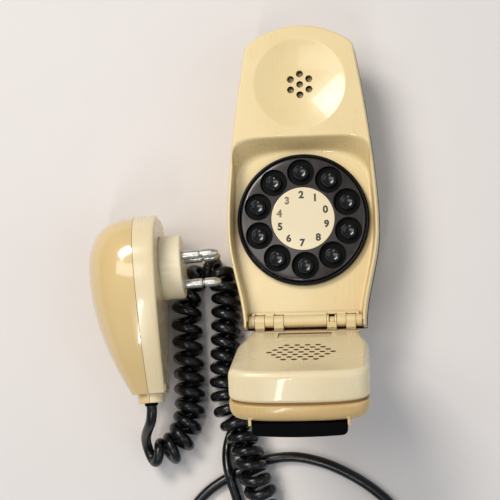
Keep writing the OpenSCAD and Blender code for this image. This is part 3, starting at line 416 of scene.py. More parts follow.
# painted shade: near-black laid on the faces of the seam groove between the shells
seam_groove_shade = black_plastic("seam_groove_shade", rgb(0.04, 0.022, 0.01), rgb(0.09, 0.05, 0.02), 0.7, gloss=0.1)
rubber = soft_rubber("black_rubber")
seal_rubber = soft_rubber("seal_rubber", rgb(0.03, 0.03, 0.03), 0.6)
vinyl = cord_vinyl("cord_vinyl")
nickel = metal("nickel", rgb(0.66, 0.63, 0.58), 0.22)
steel = metal("plain_steel", rgb(0.5, 0.5, 0.5), 0.32)
brass = metal("brass_parts", rgb(0.72, 0.52, 0.2), 0.28)
winding = metal("winding", rgb(0.6, 0.26, 0.1), 0.4, amount=0.15)
board_green = aged_plastic("board_green", rgb(0.05, 0.2, 0.09), rgb(0.07, 0.17, 0.06), rough=0.4)
ink = printed_ink("digit_ink", rgb(0.01, 0.009, 0.008), 0.1)
worn_ink = printed_ink("worn_digit_ink", rgb(0.11, 0.07, 0.035), 0.45)
cord.data.materials.append(vinyl)


# ---- piece making ----

def finish_piece(bm, name, material, body, *stands_for, slot=None, pose=None, sharp=32, tints=()):
    """Turns a bmesh in millimetres into a piece that rides on a body. tints are (material, test of a face)."""
    for k, (_, is_tinted) in enumerate(tints):
        for face in bm.faces:
            if is_tinted(face.calc_center_median(), face.normal):
                face.material_index = k + 1
    if pose is not None:
        bmesh.ops.transform(bm, matrix=pose, verts=bm.verts)
    bmesh.ops.remove_doubles(bm, verts=bm.verts, dist=0.002)
    bmesh.ops.recalc_face_normals(bm, faces=bm.faces)
    bmesh.ops.scale(bm, vec=(MM, MM, MM), verts=bm.verts)
    mesh = bpy.data.meshes.new(name)
    bm.to_mesh(mesh)
    bm.free()
    for each in (material, *[tint for tint, _ in tints]):
        mesh.materials.append(each)
    mesh.set_sharp_from_angle(angle=radians(sharp))
    for face in mesh.polygons:
        face.use_smooth = True
    piece = bpy.data.objects.new(name, mesh)
    bpy.context.collection.objects.link(piece)
    weigh = piece.modifiers.new("even_light", "WEIGHTED_NORMAL")
    weigh.keep_sharp = True
    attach(piece, body)
    if stands_for:
        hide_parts(*stands_for)
    return piece


def loft(rings):
    """A closed skin through rings of equal length: the first ring is extruded from one to the next."""
    bm = bmesh.new()
    verts = [bm.verts.new(p) for p in rings[0]]
    edges = [bm.edges.new((verts[i], verts[(i + 1) % len(verts)])) for i in range(len(verts))]
    bmesh.ops.contextual_create(bm, geom=edges)
    for ring in rings[1:]:
        grown = bmesh.ops.extrude_edge_only(bm, edges=edges)["geom"]
        fresh = {g for g in grown if isinstance(g, bmesh.types.BMVert)}
        edges = [g for g in grown if isinstance(g, bmesh.types.BMEdge) and all(v in fresh for v in g.verts)]
        partner = {}
        for v in fresh:
            for e in v.link_edges:
                other = e.other_vert(v)
                if other not in fresh:
                    partner[other] = v
        verts = [partner[v] for v in verts]
        for v, p in zip(verts, ring):
            v.co = p
    bmesh.ops.contextual_create(bm, geom=edges)
    bmesh.ops.recalc_face_normals(bm, faces=bm.faces)
    return bm


def moved(shape, matrix):
    bmesh.ops.transform(shape, matrix=matrix, verts=shape.verts)
    return shape


def spun(profile, steps=64, turn=Matrix.Identity(4)):
    """A turned shape: (radius, height) points, from the axis round to the axis."""
    bm = bmesh.new()
    verts = [bm.verts.new((r, 0, z)) for r, z in profile]
    edges = [bm.edges.new(pair) for pair in zip(verts, verts[1:])]
    bmesh.ops.spin(bm, geom=verts + edges, cent=(0, 0, 0), axis=(0, 0, 1), angle=2 * pi,
                   steps=steps, use_merge=True)
    bmesh.ops.remove_doubles(bm, verts=bm.verts, dist=0.001)
    bmesh.ops.recalc_face_normals(bm, faces=bm.faces)
    return moved(bm, turn)


def pill(radius, low, high, at=(0, 0), steps=32, flare=None, bm=None):
    """A round cutter or peg; flare gives its top radius."""
    bm = bm or bmesh.new()
    bmesh.ops.create_cone(
        bm, cap_ends=True, segments=steps, radius1=radius, radius2=radius if flare is None else flare,
        depth=high - low, matrix=Matrix.Translation((at[0], at[1], (low + high) / 2)))
    return bm


def block(low, high, round_by=0.0, segments=3, bm=None):
    """A box from corner to corner with rounded edges."""
    part = bmesh.new()
    size = Vector(high) - Vector(low)
    bmesh.ops.create_cube(part, size=1, matrix=Matrix.Translation((Vector(low) + Vector(high)) / 2)
                          @ Matrix.Diagonal((*size, 1)))
    if round_by:
        bmesh.ops.bevel(part, geom=part.edges[:], offset=round_by, segments=segments, affect="EDGES",
                        profile=0.5, material=-1)
    return join(bm, part) if bm else part


def join(bm, *others):
    for other in others:
        carrier = bpy.data.meshes.new("carrier")
        other.to_mesh(carrier)
        other.free()
        bm.from_mesh(carrier)
        bpy.data.meshes.remove(carrier)
    return bm


def carve(bm, *tools, operation="DIFFERENCE"):
    """Cuts each tool out of the solid, or joins it on."""
    def scratch(shape, name):
        mesh = bpy.data.meshes.new(name)
        shape.to_mesh(mesh)
        shape.free()
        thing = bpy.data.objects.new(name, mesh)
        bpy.context.collection.objects.link(thing)
        return thing

    solid = scratch(bm, "solid")
    cutters = [scratch(tool, "tool") for tool in tools]
    for cutter in cutters:
        step = solid.modifiers.new("cut", "BOOLEAN")
        step.operation = operation
        step.solver = "EXACT"
        step.object = cutter
    bpy.context.view_layer.update()
    result = bmesh.new()
    result.from_object(solid, bpy.context.evaluated_depsgraph_get())
    for thing in [solid] + cutters:
        mesh = thing.data
        bpy.data.objects.remove(thing)
        bpy.data.meshes.remove(mesh)
    return result


# ---- the body's outline ----

BODY_HALF, EAR_END, HINGE_END = 41.6, 107, -60
EAR_ROUND_FROM, HINGE_ROUND_FROM = 80, -44    # beyond these an inset also shortens the outline
SEAM_Z, RIM_Z = 32, 46


def side_w(y):
    if y >= 0:
        return BODY_HALF - 10.6 * (y / 91.2) ** 1.5
    return BODY_HALF - 8.2 * smooth((-y - 6) / 54)


def soft_min(a, b, k):
    h = max(0.0, min(1.0, 0.5 + 0.5 * (b - a) / k))
    return mix(b, a, h) - k * h * (1 - h)


def half_at(y, inset=0.0):
    if y < EAR_ROUND_FROM:
        return side_w(y) - inset
    end_r = 47
    arc = sqrt(max(0.0, (end_r - inset) ** 2 - (y - EAR_END + end_r) ** 2))
    return soft_min(side_w(y) - inset, arc, 2)


def inset_y(y, inset):
    for start, end in ((EAR_ROUND_FROM, EAR_END), (HINGE_ROUND_FROM, HINGE_END)):
        reach = end - start
        if (y - start) * reach > 0:
            return start + (y - start) * (abs(reach) - inset) / abs(reach)
    return y


def mirrored(half):
    return half + [(-x, y) for x, y in reversed(half) if x > 0.001]


STATIONS = ([HINGE_END, -59, -57, -54, -50] + list(range(-46, 80, 3))
            + [82, 84.5, 87, 89.5, 92, 94, 95.4, 97, 99, 100.8, 102.4, 103.7, 104.8, 105.7, 106.3, 106.7,
               106.93])


def outline(inset=0.0):
    half = []
    for s in STATIONS:
        y = inset_y(s, inset)
        half.append((half_at(y, inset), y))
    return mirrored(half + [(0.0, EAR_END - inset)])


def corner(w, h, power, steps):
    return [(w * max(0.0, cos(a)) ** (2 / power), h * sin(a) ** (2 / power))
            for a in (pi / 2 * i / steps for i in range(steps + 1))]


def recess_outline(inset, corner_y, step_y, power):
    sides = [(half_at(y, inset), y) for y in [-66] + list(range(-62, 14, 3))]
    cap = [(x, corner_y + y) for x, y in corner(half_at(corner_y, inset), step_y - corner_y, power, 26)]
    return mirrored(sides + cap)


def level(flat, z):
    return [(x, y, z) for x, y in flat]


# ---- front shell ----

RIM_PROFILE = [(1.5, 32.0), (1.45, 32.3), (0.7, 32.42), (0.5, 32.7), (0.45, 33.2), (0.45, 35), (0.5, 37),
               (0.56, 39.5), (0.64, 42), (0.74, 43.6), (0.86, 44.5), (1.02, 45.15), (1.26, 45.6), (1.56, 45.88),
               (1.9, 46.0)]
RECESS_PROFILE = [(33.0, 4.9, 16.4, 37.4, 2.6), (33.1, 4.35, 16.7, 38.0, 2.6), (33.4, 3.85, 17.2, 38.6, 2.7),
                  (33.9, 3.5, 17.9, 39.2, 2.8), (34.8, 3.25, 18.6, 39.8, 2.9), (36.4, 3.1, 20, 40.6, 3.1),
                  (39, 2.95, 22, 41.6, 3.4), (42, 2.85, 24.5, 42.6, 4.2), (44.3, 2.77, 26.5, 43.6, 4.8),
                  (45.1, 2.67, 27.1, 44.0, 5.1), (45.6, 2.5, 27.6, 44.4, 5.3), (45.88, 2.32, 27.9, 44.9, 5.5),
                  (46.0, 2.15, 28.1, 45.5, 5.6), (46.3, 2.05, 28.3, 46.4, 5.6)]
EAR_Y = 73.7
ear_holes = [(0, EAR_Y)] + [(5.8 * cos(radians(90 + 60 * i)), EAR_Y + 5.8 * sin(radians(90 + 60 * i)))
                            for i in range(6)]


def dish_cutter():
    """A shallow bowl whose edge rolls over into the flat."""
    ball = (25**2 + 3.5**2) / 7
    bowl = [(23.6 * i / 13, ball - sqrt(ball * ball - (23.6 * i / 13) ** 2)) for i in range(14)]
    bowl += [(24.0, 3.22), (24.5, 3.35), (24.85, 3.43), (25.2, 3.48), (25.7, 3.5), (26, 3.7), (26, 6), (0, 6)]
    return spun(bowl, 96, turn=Matrix.Translation((0, EAR_Y, 42.5)))


def front_shell():
    shell = loft([level(outline(inset), z) for inset, z in RIM_PROFILE])
    recess = loft([level(recess_outline(*shape), z) for z, *shape in RECESS_PROFILE])
    behind_ear = loft([level([(x, max(y, 47.5)) for x, y in outline(3.4)], z) for z in (31, 40.3)])
    trough = moved(pill(3.65, -31.3, 31.3, steps=48), Matrix.Translation(HINGE) @ along_x)
    open_end = block((-31.3, -76, 32.3), (31.3, HINGE.y, 62))
    dial_seat = pill(35.25, 31, 34, steps=128)
    plunger_slot = block((12.2, -59.5, 29), (16.4, -51.9, 34))
    tools = [recess, dish_cutter(), behind_ear, dial_seat, trough, open_end, plunger_slot]
    for spot in ear_holes:
        tools += [pill(1.6, 39, 42.1, spot, 24), pill(1.6, 42.0, 42.9, spot, 24, flare=2.05)]
    return carve(shell, *tools)


# the walls of the ear holes get the near-black finish: painted shade
def in_ear_hole(at, normal):
    return 40.4 < at.z < 42.45 and any((at.xy - Vector(h)).length < 1.8 for h in ear_holes)


# faces in the seam groove, painted near black as shade
def in_groove(at, normal):
    return 31.95 < at.z < 32.38 and (abs(at.x) > half_at(at.y, 1.9) or at.y > 103)


finish_piece(front_shell(), "front_shell_skin", ivory, "body", "front_shell", slot="ivory_plastic",
             tints=[(ear_hole_shade, in_ear_hole), (seam_groove_shade, in_groove)])


# ---- back shell ----

def back_ring(inset, a):
    """A ring of the rounded back: a is 90 degrees on the flat patch and 0 at the seam."""
    ring = []
    for x, y in outline(inset):
        patch_x, patch_y = x * 18 / BODY_HALF, y * 50 / EAR_END if y > 0 else y * 40 / -HINGE_END
        ring.append((mix(patch_x, x, cos(a)), mix(patch_y, y, cos(a)), SEAM_Z - (SEAM_Z - inset) * sin(a)))
    return ring


def back_shell():
    outer = [back_ring(0, radians(90 - 4.5 * i)) for i in range(20)]
    rim = [level(outline(0.08), 31.4), level(outline(0.22), 31.54), level(outline(0.42), 31.56),
           level(outline(1.45), 31.5), level(outline(1.5), 32.0), level(outline(2.2), 32.0)]
    inner = [back_ring(2.2, radians(4.5 + 8.55 * i)) for i in range(11)]
    shell = loft(outer + [back_ring(0, radians(2))] + rim + inner)
    tools = []
    for spot in ((27, 52), (-27, 52), (27, -42), (-27, -42)):
        tools += [pill(3.7, -1, 13.9, spot, 36, flare=3.2), pill(1.7, 12, 30, spot, 24)]
    relief = moved(pill(5.1, 50, 72, steps=48), Matrix.Translation((-24, 0, 24)) @ along_minus_y)
    return carve(shell, *tools, relief)


finish_piece(back_shell(), "back_shell_skin", ivory, "body", "back_shell", slot="ivory_plastic",
             tints=[(seam_groove_shade, lambda at, normal: 31.4 < at.z < 32.1 and normal.z > 0.3)])


# ---- hinge ----

SEGMENTS = [3.5, 5.3, 5.0, 5.3, 23.3, 5.3, 5.0, 5.3, 3.5]
BODY_SEGMENTS, FLAP_SEGMENTS = (0, 2, 4, 6, 8), (1, 3, 5, 7)
GAP = 0.15
BORE_R, BARREL_R = 1.55, 3.3
CAM_SEGMENT, CAM_X, CAM_W = 5, 14.3, 3
CAM_R, CAM_OFFSET = 3, 1.2
CAM_TURN = radians(-126.5) - OPEN


def segment(i):
    """Where a segment of the hinge starts and ends."""
    start = sum(SEGMENTS[:i]) - sum(SEGMENTS) / 2
    return start + GAP / 2, start + SEGMENTS[i] - GAP / 2


def barrel(which, pose):
    """The rolled knuckles of the hinge, on one side of it."""
    made = bmesh.new()
    for i in which:
        ends = list(segment(i))
        if i == CAM_SEGMENT:
            # the barrel stops short of the cam on either side
            ends[1:1] = [CAM_X - CAM_W / 2 - 0.1, CAM_X + CAM_W / 2 + 0.1]
        for a, b in zip(ends[::2], ends[1::2]):
            left = [(BARREL_R - 0.2, a), (BARREL_R - 0.05, a + 0.06), (BARREL_R, a + 0.2)]
            right = [(r, a + b - x) for r, x in reversed(left)]
            join(made, spun([(BORE_R, a)] + left + right + [(BORE_R, b), (BORE_R, a)], 48, turn=along_x))
    return moved(made, pose)


def body_hinge():
    half = 29.1
    made = barrel(BODY_SEGMENTS, Matrix.Translation(HINGE))
    for i in BODY_SEGMENTS:
        a, b = segment(i)
        block((max(-half, a), HINGE.y + 1.6, 33), (min(half, b), HINGE.y + 4.6, 36), 0.25, bm=made)
    block((-half, HINGE.y + 3.6, 32.9), (half, HINGE.y + 5.3, 34.2), 0.3, bm=made)
    return made


def hook_cam():
    """The eccentric disc that works the hook plunger, bored for the hinge pin."""
    a, b = CAM_X - CAM_W / 2, CAM_X + CAM_W / 2
    disc = spun([(BORE_R, a), (CAM_R, a), (CAM_R, b), (BORE_R, b), (BORE_R, a)], 48, turn=along_x)
    rim = [v for v in disc.verts if v.co.yz.length > (BORE_R + CAM_R) / 2]
    bmesh.ops.translate(disc, vec=(0, CAM_OFFSET * cos(CAM_TURN), CAM_OFFSET * sin(CAM_TURN)), verts=rim)
    return disc


def flap_hinge():
    made = join(barrel(FLAP_SEGMENTS, Matrix.Identity(4)), hook_cam())
    for i in FLAP_SEGMENTS:
        a, b = segment(i)
        block((a, 1.7, 0), (b, FLAP_ROOT, 4.8), 0.15, bm=made)
        block((a, -1.5, 2.6), (b, FLAP_ROOT, 4.8), 0.15, bm=made)
    block((-29, 1.2, 4.7), (29, FLAP_ROOT, 12), 0.3, bm=made)
    return made


finish_piece(body_hinge(), "body_hinge_skin", ivory, "body", "body_hinge_block", slot="ivory_plastic")
finish_piece(flap_hinge(), "flap_hinge_skin", ivory, "flap", "flap_hinge_block", slot="ivory_plastic",
             pose=flap_pose)


# ---- dial ----

WELL_RING = 25.7
WELL_ORDER = "2345678901"      # the digits of the wells, anticlockwise from the top
NUMBER_RING, NUMBER_HEIGHT, DISC_TOP = 13.2, 4.2, 39.4


def well_spot(i):
    a = radians(91.7 + 36 * i)
    return WELL_RING * cos(a), WELL_RING * sin(a)


def bezel():
    return spun([(34.5, 29), (35.15, 29), (35.15, 33), (36.1, 33), (36.1, 36.2), (36.0, 36.6), (35.75, 36.95),
                 (35.4, 37.15), (35.0, 37.2), (34.7, 37.08), (34.55, 36.85), (34.5, 36.5), (34.5, 29)], 160)


finish_piece(bezel(), "dial_bezel_ring", dial_black, "body", "dial_bezel", slot="black_plastic")


def finger_wheel():
    wheel = spun([(0, 31.6), (31, 31.6), (31, 32.2), (8, 32.2), (8, 34.6), (33.9, 34.6), (34.2, 34.9),
                  (34.2, 37.2), (34.1, 37.6), (33.8, 37.95), (33.3, 38.17), (32.6, 38.3), (31, 38.45),
                  (28.5, 38.64), (25.5, 38.8), (22, 38.93), (17.4, 39.0), (17.3, 38.9), (17.3, 38.4),
                  (0, 38.4)], 160)
    tools = []
    for i in range(len(WELL_ORDER)):
        spot = well_spot(i)
        tools += [pill(7.25, 35.8, 38.32, spot, 72), pill(7.25, 38.3, 39.1, spot, 72, flare=7.7),
                  pill(4.25, 30, 36, spot, 40)]
    shaft_hole = pill(3.02, 30, 35.6, steps=40)
    return carve(wheel, *tools, shaft_hole)


finish_piece(finger_wheel(), "finger_wheel_skin", wheel_black, "dial", "finger_wheel", slot="black_plastic")


def key_button(i):
    x, y = well_spot(i)
    cup = [(3.62 * cos(radians(a)), 38.33 - 1.15 * sin(radians(a))) for a in range(8, 90, 9)]
    return spun([(0, 31), (2.5, 31), (2.5, 35), (4.15, 35), (4.15, 37.9), (4.1, 38.15), (3.98, 38.32),
                 (3.85, 38.4), (3.72, 38.4)] + cup + [(0, 37.18)], 56, turn=Matrix.Translation((x, y, 0)))


for well, digit in enumerate(WELL_ORDER):
    finish_piece(key_button(well), "key_" + digit, button_black, "button_" + digit,
                 "finger_button_" + digit, slot="black_plastic")

finish_piece(
    spun([(0, 38.4), (17.15, 38.4), (17.2, 38.5), (17.2, 39.15), (17.12, 39.3), (16.95, 39.38),
          (16.7, DISC_TOP), (0, DISC_TOP)], 128),
    "number_disc_skin", disc_ivory, "dial", "number_disc", slot="pale_plastic")

# the angle at which each number is printed on the disc
DIGITS = {"2": 93, "1": 59, "0": 21, "9": -14, "8": -52, "7": -92, "6": -127, "5": -162, "4": 166, "3": 130}


def digit_shape(digit):
    """A bold upright numeral lying on the disc."""
    words = bpy.data.curves.new("digit", "FONT")
    words.body = digit
    words.size = 5.6
    words.bevel_depth = 0.25
    words.align_x = "CENTER"
    words.align_y = "CENTER"
    holder = bpy.data.objects.new("digit", words)
    bpy.context.collection.objects.link(holder)
    bpy.context.view_layer.update()
    flat = bpy.data.meshes.new_from_object(holder.evaluated_get(bpy.context.evaluated_depsgraph_get()))
    shape = bmesh.new()
    shape.from_mesh(flat)
    bpy.data.objects.remove(holder)
    bpy.data.meshes.remove(flat)
    lows = [min(v.co[k] for v in shape.verts) for k in range(2)]
    highs = [max(v.co[k] for v in shape.verts) for k in range(2)]
    a = radians(DIGITS[digit])
    middle = Vector(((lows[0] + highs[0]) / 2, (lows[1] + highs[1]) / 2, 0))
    grow = NUMBER_HEIGHT / (highs[1] - lows[1])
    spot = Matrix.Translation((NUMBER_RING * cos(a), NUMBER_RING * sin(a), DISC_TOP + 0.02))
    return moved(shape, spot @ Matrix.Diagonal((grow * 1.02, grow, 0.12, 1)) @ Matrix.Translation(-middle))


for numbers, name, print_ink in (("12567890", "dial_numbers", ink), ("34", "worn_numbers", worn_ink)):
    finish_piece(join(bmesh.new(), *[digit_shape(d) for d in numbers]), name, print_ink, "dial",
                 slot="black_plastic", sharp=30)


# ---- flap ----

FLAP_HALF, FLAP_ROUND_FROM = 34.3, 75
FLAP_SCREWS = ((24, 20), (-24, 20), (26, 72), (-26, 72))
GRILLE_PITCH = 5.4


def flap_w(s):
    return FLAP_HALF - 4.3 * (1 - smooth((s - 2) / 34))


def along(s):
    return (s - FLAP_ROOT) / (FLAP_LEN - FLAP_ROOT)


def flap_seam(s):
    return mix(12.0, 21.5, along(s))


def flap_out(s):
    return mix(20.0, 31.0, along(s))


def flap_outline(inset):
    sides = [(flap_w(s) - inset, s) for s in
             [FLAP_ROOT + inset * 0.6] + [6.5 + 2.5 * i for i in range(13)] + list(range(42, 74, 4))]
    cap = [(x, FLAP_ROUND_FROM + y) for x, y in
           corner(flap_w(FLAP_ROUND_FROM) - inset, FLAP_LEN - FLAP_ROUND_FROM - inset, 2.7, 24)]
    return mirrored(sides + cap)


def inner_ring(inset, t, drop=0.0):
    return [(x, y, mix(FACE_N, flap_seam(y), t) - drop) for x, y in flap_outline(inset)]


def outer_ring(inset, t, drop=0.0):
    return [(x, y, mix(flap_seam(y), flap_out(y), t) - drop) for x, y in flap_outline(inset)]


GRILLE = [((k - (6 - abs(row)) / 2) * GRILLE_PITCH, 48 + row * GRILLE_PITCH * sin(radians(60)))
          for row in range(-3, 4) for k in range(7 - abs(row))]


def flap_inner():
    shell = loft([
        inner_ring(3.4, 0), inner_ring(2.5, 0, -0.08), inner_ring(1.7, 0, -0.32), inner_ring(1.0, 0, -0.8),
        inner_ring(0.5, 0, -1.5), inner_ring(0.18, 0, -2.5), inner_ring(0.03, 0, -3.8), inner_ring(0, 0.55),
        inner_ring(0, 1, 3.4), inner_ring(0.12, 1, 2.6), inner_ring(0.4, 1, 1.95), inner_ring(0.85, 1, 1.5),
        inner_ring(1.4, 1, 1.3), inner_ring(2.0, 1, 1.25), inner_ring(2.05, 1, 0.02)])
    hollow = loft([inner_ring(2.8, 0, -2), inner_ring(2.8, 1, -1)])
    slot_cut = block((-14.3, 8, FACE_N - 1), (14.3, 18, FACE_N + 0.9), 0.25)
    grille = bmesh.new()
    for spot in GRILLE:
        pill(1.55, FACE_N - 0.5, FACE_N + 3, spot, 20, bm=grille)
    return carve(shell, hollow, slot_cut, grille)


def in_grille(at, normal):
    return FACE_N + 0.3 < at.z < FACE_N + 1.98 and any((at.xy - Vector(h)).length < 1.6 for h in GRILLE)


def beside_slot(at, normal):
    return abs(at.x) < 14.4 and 7.9 < at.y < 18.1 and abs(normal.z) < 0.7 and at.z < FACE_N + 0.95


def in_flap_groove(at, normal):
    return -1.45 < at.z - flap_seam(at.y) < 0.1 and normal.z * 2 > -1.5


def flap_outer():
    shell = loft([
        outer_ring(2.0, 0, -0.02), outer_ring(0.7, 0, -0.08), outer_ring(0.25, 0, -0.3), outer_ring(0, 0, -0.8),
        outer_ring(0.03, 1, 7.2), outer_ring(0.13, 1, 5.7), outer_ring(0.4, 1, 4.4), outer_ring(0.85, 1, 3.3),
        outer_ring(1.5, 1, 2.3), outer_ring(2.4, 1, 1.4), outer_ring(3.6, 1, 0.72), outer_ring(5.1, 1, 0.27),
        outer_ring(6.8, 1, 0.05), outer_ring(8.2, 1, 0)])
    hollow = loft([outer_ring(2.4, 0, 1), outer_ring(2.6, 1, 4.4), outer_ring(5, 1, 2.2)])
    sinks = [pill(2.9, flap_out(s) - 3.4, flap_out(s) + 6, (x, s), 36) for x, s in FLAP_SCREWS]
    return carve(shell, hollow, *sinks)


def rounded_rectangle(x, a, b, r, steps=6):
    """Corner points of a rectangle from -x to x and a to b, anticlockwise."""
    ring = []
    for cx, cy, start in ((x - r, b - r, 0), (-x + r, b - r, 90), (-x + r, a + r, 180), (x - r, a + r, 270)):
        for i in range(steps + 1):
            t = radians(start + 90 * i / steps)
            ring.append((cx + r * cos(t), cy + r * sin(t)))
    return ring


def foot_socket():
    """The raised lip round the rubber foot."""
    def top(ring, z):
        # the walls run down towards the tip, where there is none
        return [(x, y, mix(z, z - 1.6, smooth((y - 74) / 9)) if y < 83 else 28.2) for x, y in ring]

    outer, inner = rounded_rectangle(24.8, 65.4, 83.3, 0.8), rounded_rectangle(23.4, 66.8, 83.2, 0.6)
    rolled = rounded_rectangle(24.5, 65.7, 83.25, 0.7)
    return loft([level(inner, 24.5), top(inner, 33.4), top(rolled, 33.5), top(outer, 33.2), level(outer, 24.5)])


FOOT_TOP, FOOT_CROWN_R, FOOT_HALF, FOOT_ROUND = 38, 260, 23.3, 2.6
# how far each end section of the foot is shrunk, from one end to the other
FOOT_SECTIONS = ((67.0, 0.9), (67.15, 0.4), (67.5, 0.12), (68.2, 0), (81.8, 0), (82.5, 0.12), (82.85, 0.4),
                 (83.0, 0.9))


def crown(x):
    return FOOT_TOP - FOOT_CROWN_R + sqrt(FOOT_CROWN_R**2 - x * x)


def rubber_foot():
    rings = []
    for s, shrink in FOOT_SECTIONS:
        base = flap_out(s) + 0.05
        half = FOOT_HALF - shrink
        flat_half = half - FOOT_ROUND
        shoulder = []
        for i in range(7):
            t = radians(15 * i)
            shoulder.append((flat_half + FOOT_ROUND * cos(t), s,
                             crown(flat_half) - shrink - FOOT_ROUND + FOOT_ROUND * sin(t)))
        top = [(x, s, crown(x) - shrink) for x in (flat_half * (1 - i / 10) for i in range(1, 20))]
        other = [(-x, y, z) for x, y, z in reversed(shoulder)]
        rings.append([(half, s, base)] + shoulder + top + other + [(-half, s, base)])
    return loft(rings)


finish_piece(flap_inner(), "flap_inner_skin", flap_ivory, "flap", "flap_inner_shell", slot="ivory_plastic",
             pose=flap_pose,
             tints=[(grille_dirt_and_shade, in_grille), (grille_dirt_and_shade, beside_slot), (seam_brown, in_flap_groove)])
finish_piece(join(flap_outer(), foot_socket()), "flap_outer_skin", outer_ivory_shaded, "flap", "flap_outer_shell",
             slot="ivory_plastic", pose=flap_pose)
finish_piece(rubber_foot(), "rubber_foot", rubber, "flap", "flap_foot", slot="black_rubber", pose=flap_pose)


# ---- wall plug ----

def egg(v, widest, wide, narrow, round_power, taper_power):
    """An egg's half width: round from its widest place to the top, tapered to the end."""
    if v > widest:
        return wide * max(0.0, 1 - ((v - widest) / (PLUG_TOP - widest)) ** round_power) ** (1 / round_power)
    return wide - (wide - narrow) * ((widest - v) / (widest - PLUG_END)) ** taper_power


def plug_w(v):
    return egg(v, -2, PLUG_HALF, 10, 2.4, 1.7)


def dome_d(v):
    return egg(v, -4, 28.2, 9.8, 2.6, 1.9)


def base_d(v):
    return mix(12.0, 9.0, (PLUG_TOP - v) / (PLUG_TOP - PLUG_END))


SEAM_GAP = 0.12
PLUG_STATIONS = ([PLUG_END, -67, -65.5] + [-63 + 3.5 * i for i in range(24)]
                 + [20.5, 22.5, 24.2, 25.6, 26.7, 27.5, 28.1, 28.5, 28.8, 28.95])


def dome_ring(v, inset=0.0, lift=0.0):
    w, d = max(0.05, plug_w(v) - inset), max(0.05, dome_d(v) - inset)
    arc = corner(w, d, 2.3, 18)
    ring = arc + [(-x, y) for x, y in reversed(arc) if x > 0.001]
    return [(-y + (lift if y < 0.01 else 0), v, x) for x, y in ring]


def plug_dome():
    shell = loft([dome_ring(v) for v in PLUG_STATIONS])
    hollow = loft([[(x + (0.5 if x > -0.01 else 0), y, z) for x, y, z in dome_ring(v, 2.0)]
                   for v in PLUG_STATIONS if -62 < v < 26.8])
    shell = carve(shell, plug_collar(-9, -SEAM_GAP), operation="UNION")
    # a hair's width off the seam face
    seam = block((-SEAM_GAP, -90, -40), (1, 40, 40))
    return carve(shell, hollow, cord_bore(), seam)


def plug_collar(low, high):
    """The part of the collar round the cord that lies between two depths."""
    ring = spun([(3.2, 0), (6.9, 0), (7.15, 0.15), (7.2, 0.5), (7.2, 5), (7.1, 5.3), (6.8, 5.5), (3.2, 5.5),
                 (3.2, 0)], 64, turn=Matrix.Translation((0.3, PLUG_END + 0.5, 0)) @ along_minus_y)
    return carve(ring, block((low, PLUG_END - 20, -20), (high, PLUG_END + 20, 20)), operation="INTERSECT")


def cord_bore():
    return moved(pill(3.7, 0, 20, steps=40), Matrix.Translation((0, PLUG_END + 8, 0)) @ along_minus_y)


def base_ring(inset, depth, shift=0.0):
    half = [(max(0.02, plug_w(v) - inset), v) for v in PLUG_STATIONS]
    return [(depth * base_d(y) + shift, max(PLUG_END + (2 if inset > 2.3 else 0), min(y, PLUG_TOP - inset)), x)
            for x, y in mirrored(half)]


def plug_base():
    shell = loft([base_ring(0.25, 0, 0.02), base_ring(0.02, 0, 0.3), base_ring(0, 0.3), base_ring(0.1, 0.7),
                  base_ring(0.35, 0.85), base_ring(0.8, 0.94), base_ring(1.4, 0.985), base_ring(2.2, 1.0)])
    seat = moved(pill(17.5, 8, 11.7, steps=96), along_x)
    lip = block((5.8, PLUG_END + 1.2, -9.4), (9.6, PLUG_END + 5, 9.4), 0.6)
    shell = carve(shell, seat, plug_collar(SEAM_GAP, 9), lip, operation="UNION")
    hollow = loft([base_ring(2.4, -0.1), base_ring(3.0, 0.8)])
    well = moved(pill(14, -1, 20, steps=72), along_x)
    screw_spot = Matrix.Translation((0, -46, 0)) @ along_x
    screw_hole = moved(pill(1.7, -5, 20, steps=24), screw_spot)
    sink = moved(pill(3.0, 8.2, 13, steps=36), screw_spot)
    return carve(shell, hollow, cord_bore(), well, screw_hole, sink)


def pin_spot(a):
    a = radians(a)
    return Matrix.Translation((0, PIN_RING * cos(a), PIN_RING * sin(a))) @ along_x


def carrier():
    disc = spun([(0, 6), (13.9, 6), (13.9, 11.75), (17.3, 11.75), (17.5, 11.95), (17.5, 22.3), (17.4, 22.8),
                 (17.15, 23.2), (16.8, 23.42), (16.3, 23.5), (0, 23.5)], 128, turn=along_x)
    return carve(disc, *[moved(pill(2.02, 0, 30, steps=32), pin_spot(a)) for a in PIN_TURNS])


def contact_pins():
    made = bmesh.new()
    for a in PIN_TURNS:
        pin = spun([(0, 3), (2, 3), (2, 23.5), (2.5, 23.5), (2.6, 23.7), (2.6, 32.8), (2.45, 33.2),
                    (1.75, 33.55), (1.7, 33.8), (1.7, 34.1), (1.8, 34.35), (2.5, 34.7), (2.6, 34.95), (2.6, 39.9), (2.5, 40.5),
                    (1.5, 43.0), (1.25, 43.35), (0.95, 43.55), (0.6, 43.6), (0, 43.6)], 40)
        slit = block((-0.3, -4, 35.2), (0.3, 4, 47))
        join(made, moved(carve(pin, slit), pin_spot(a)))
    return made


for shape, name, material, stands_for, slot in (
        (plug_dome(), "plug_dome_skin", plug_ivory, "plug_cover", "ivory_plastic"),
        (plug_base(), "plug_base_skin", base_ivory, "plug_base", "ivory_plastic"),
        (carrier(), "pin_carrier_skin", pale, "pin_carrier", "pale_plastic"),
        (contact_pins(), "contact_pins", nickel, "plug_pins", "nickel")):
    finish_piece(shape, name, material, "body", stands_for, slot=slot, pose=plug_pose)


# ---- strain reliefs ----

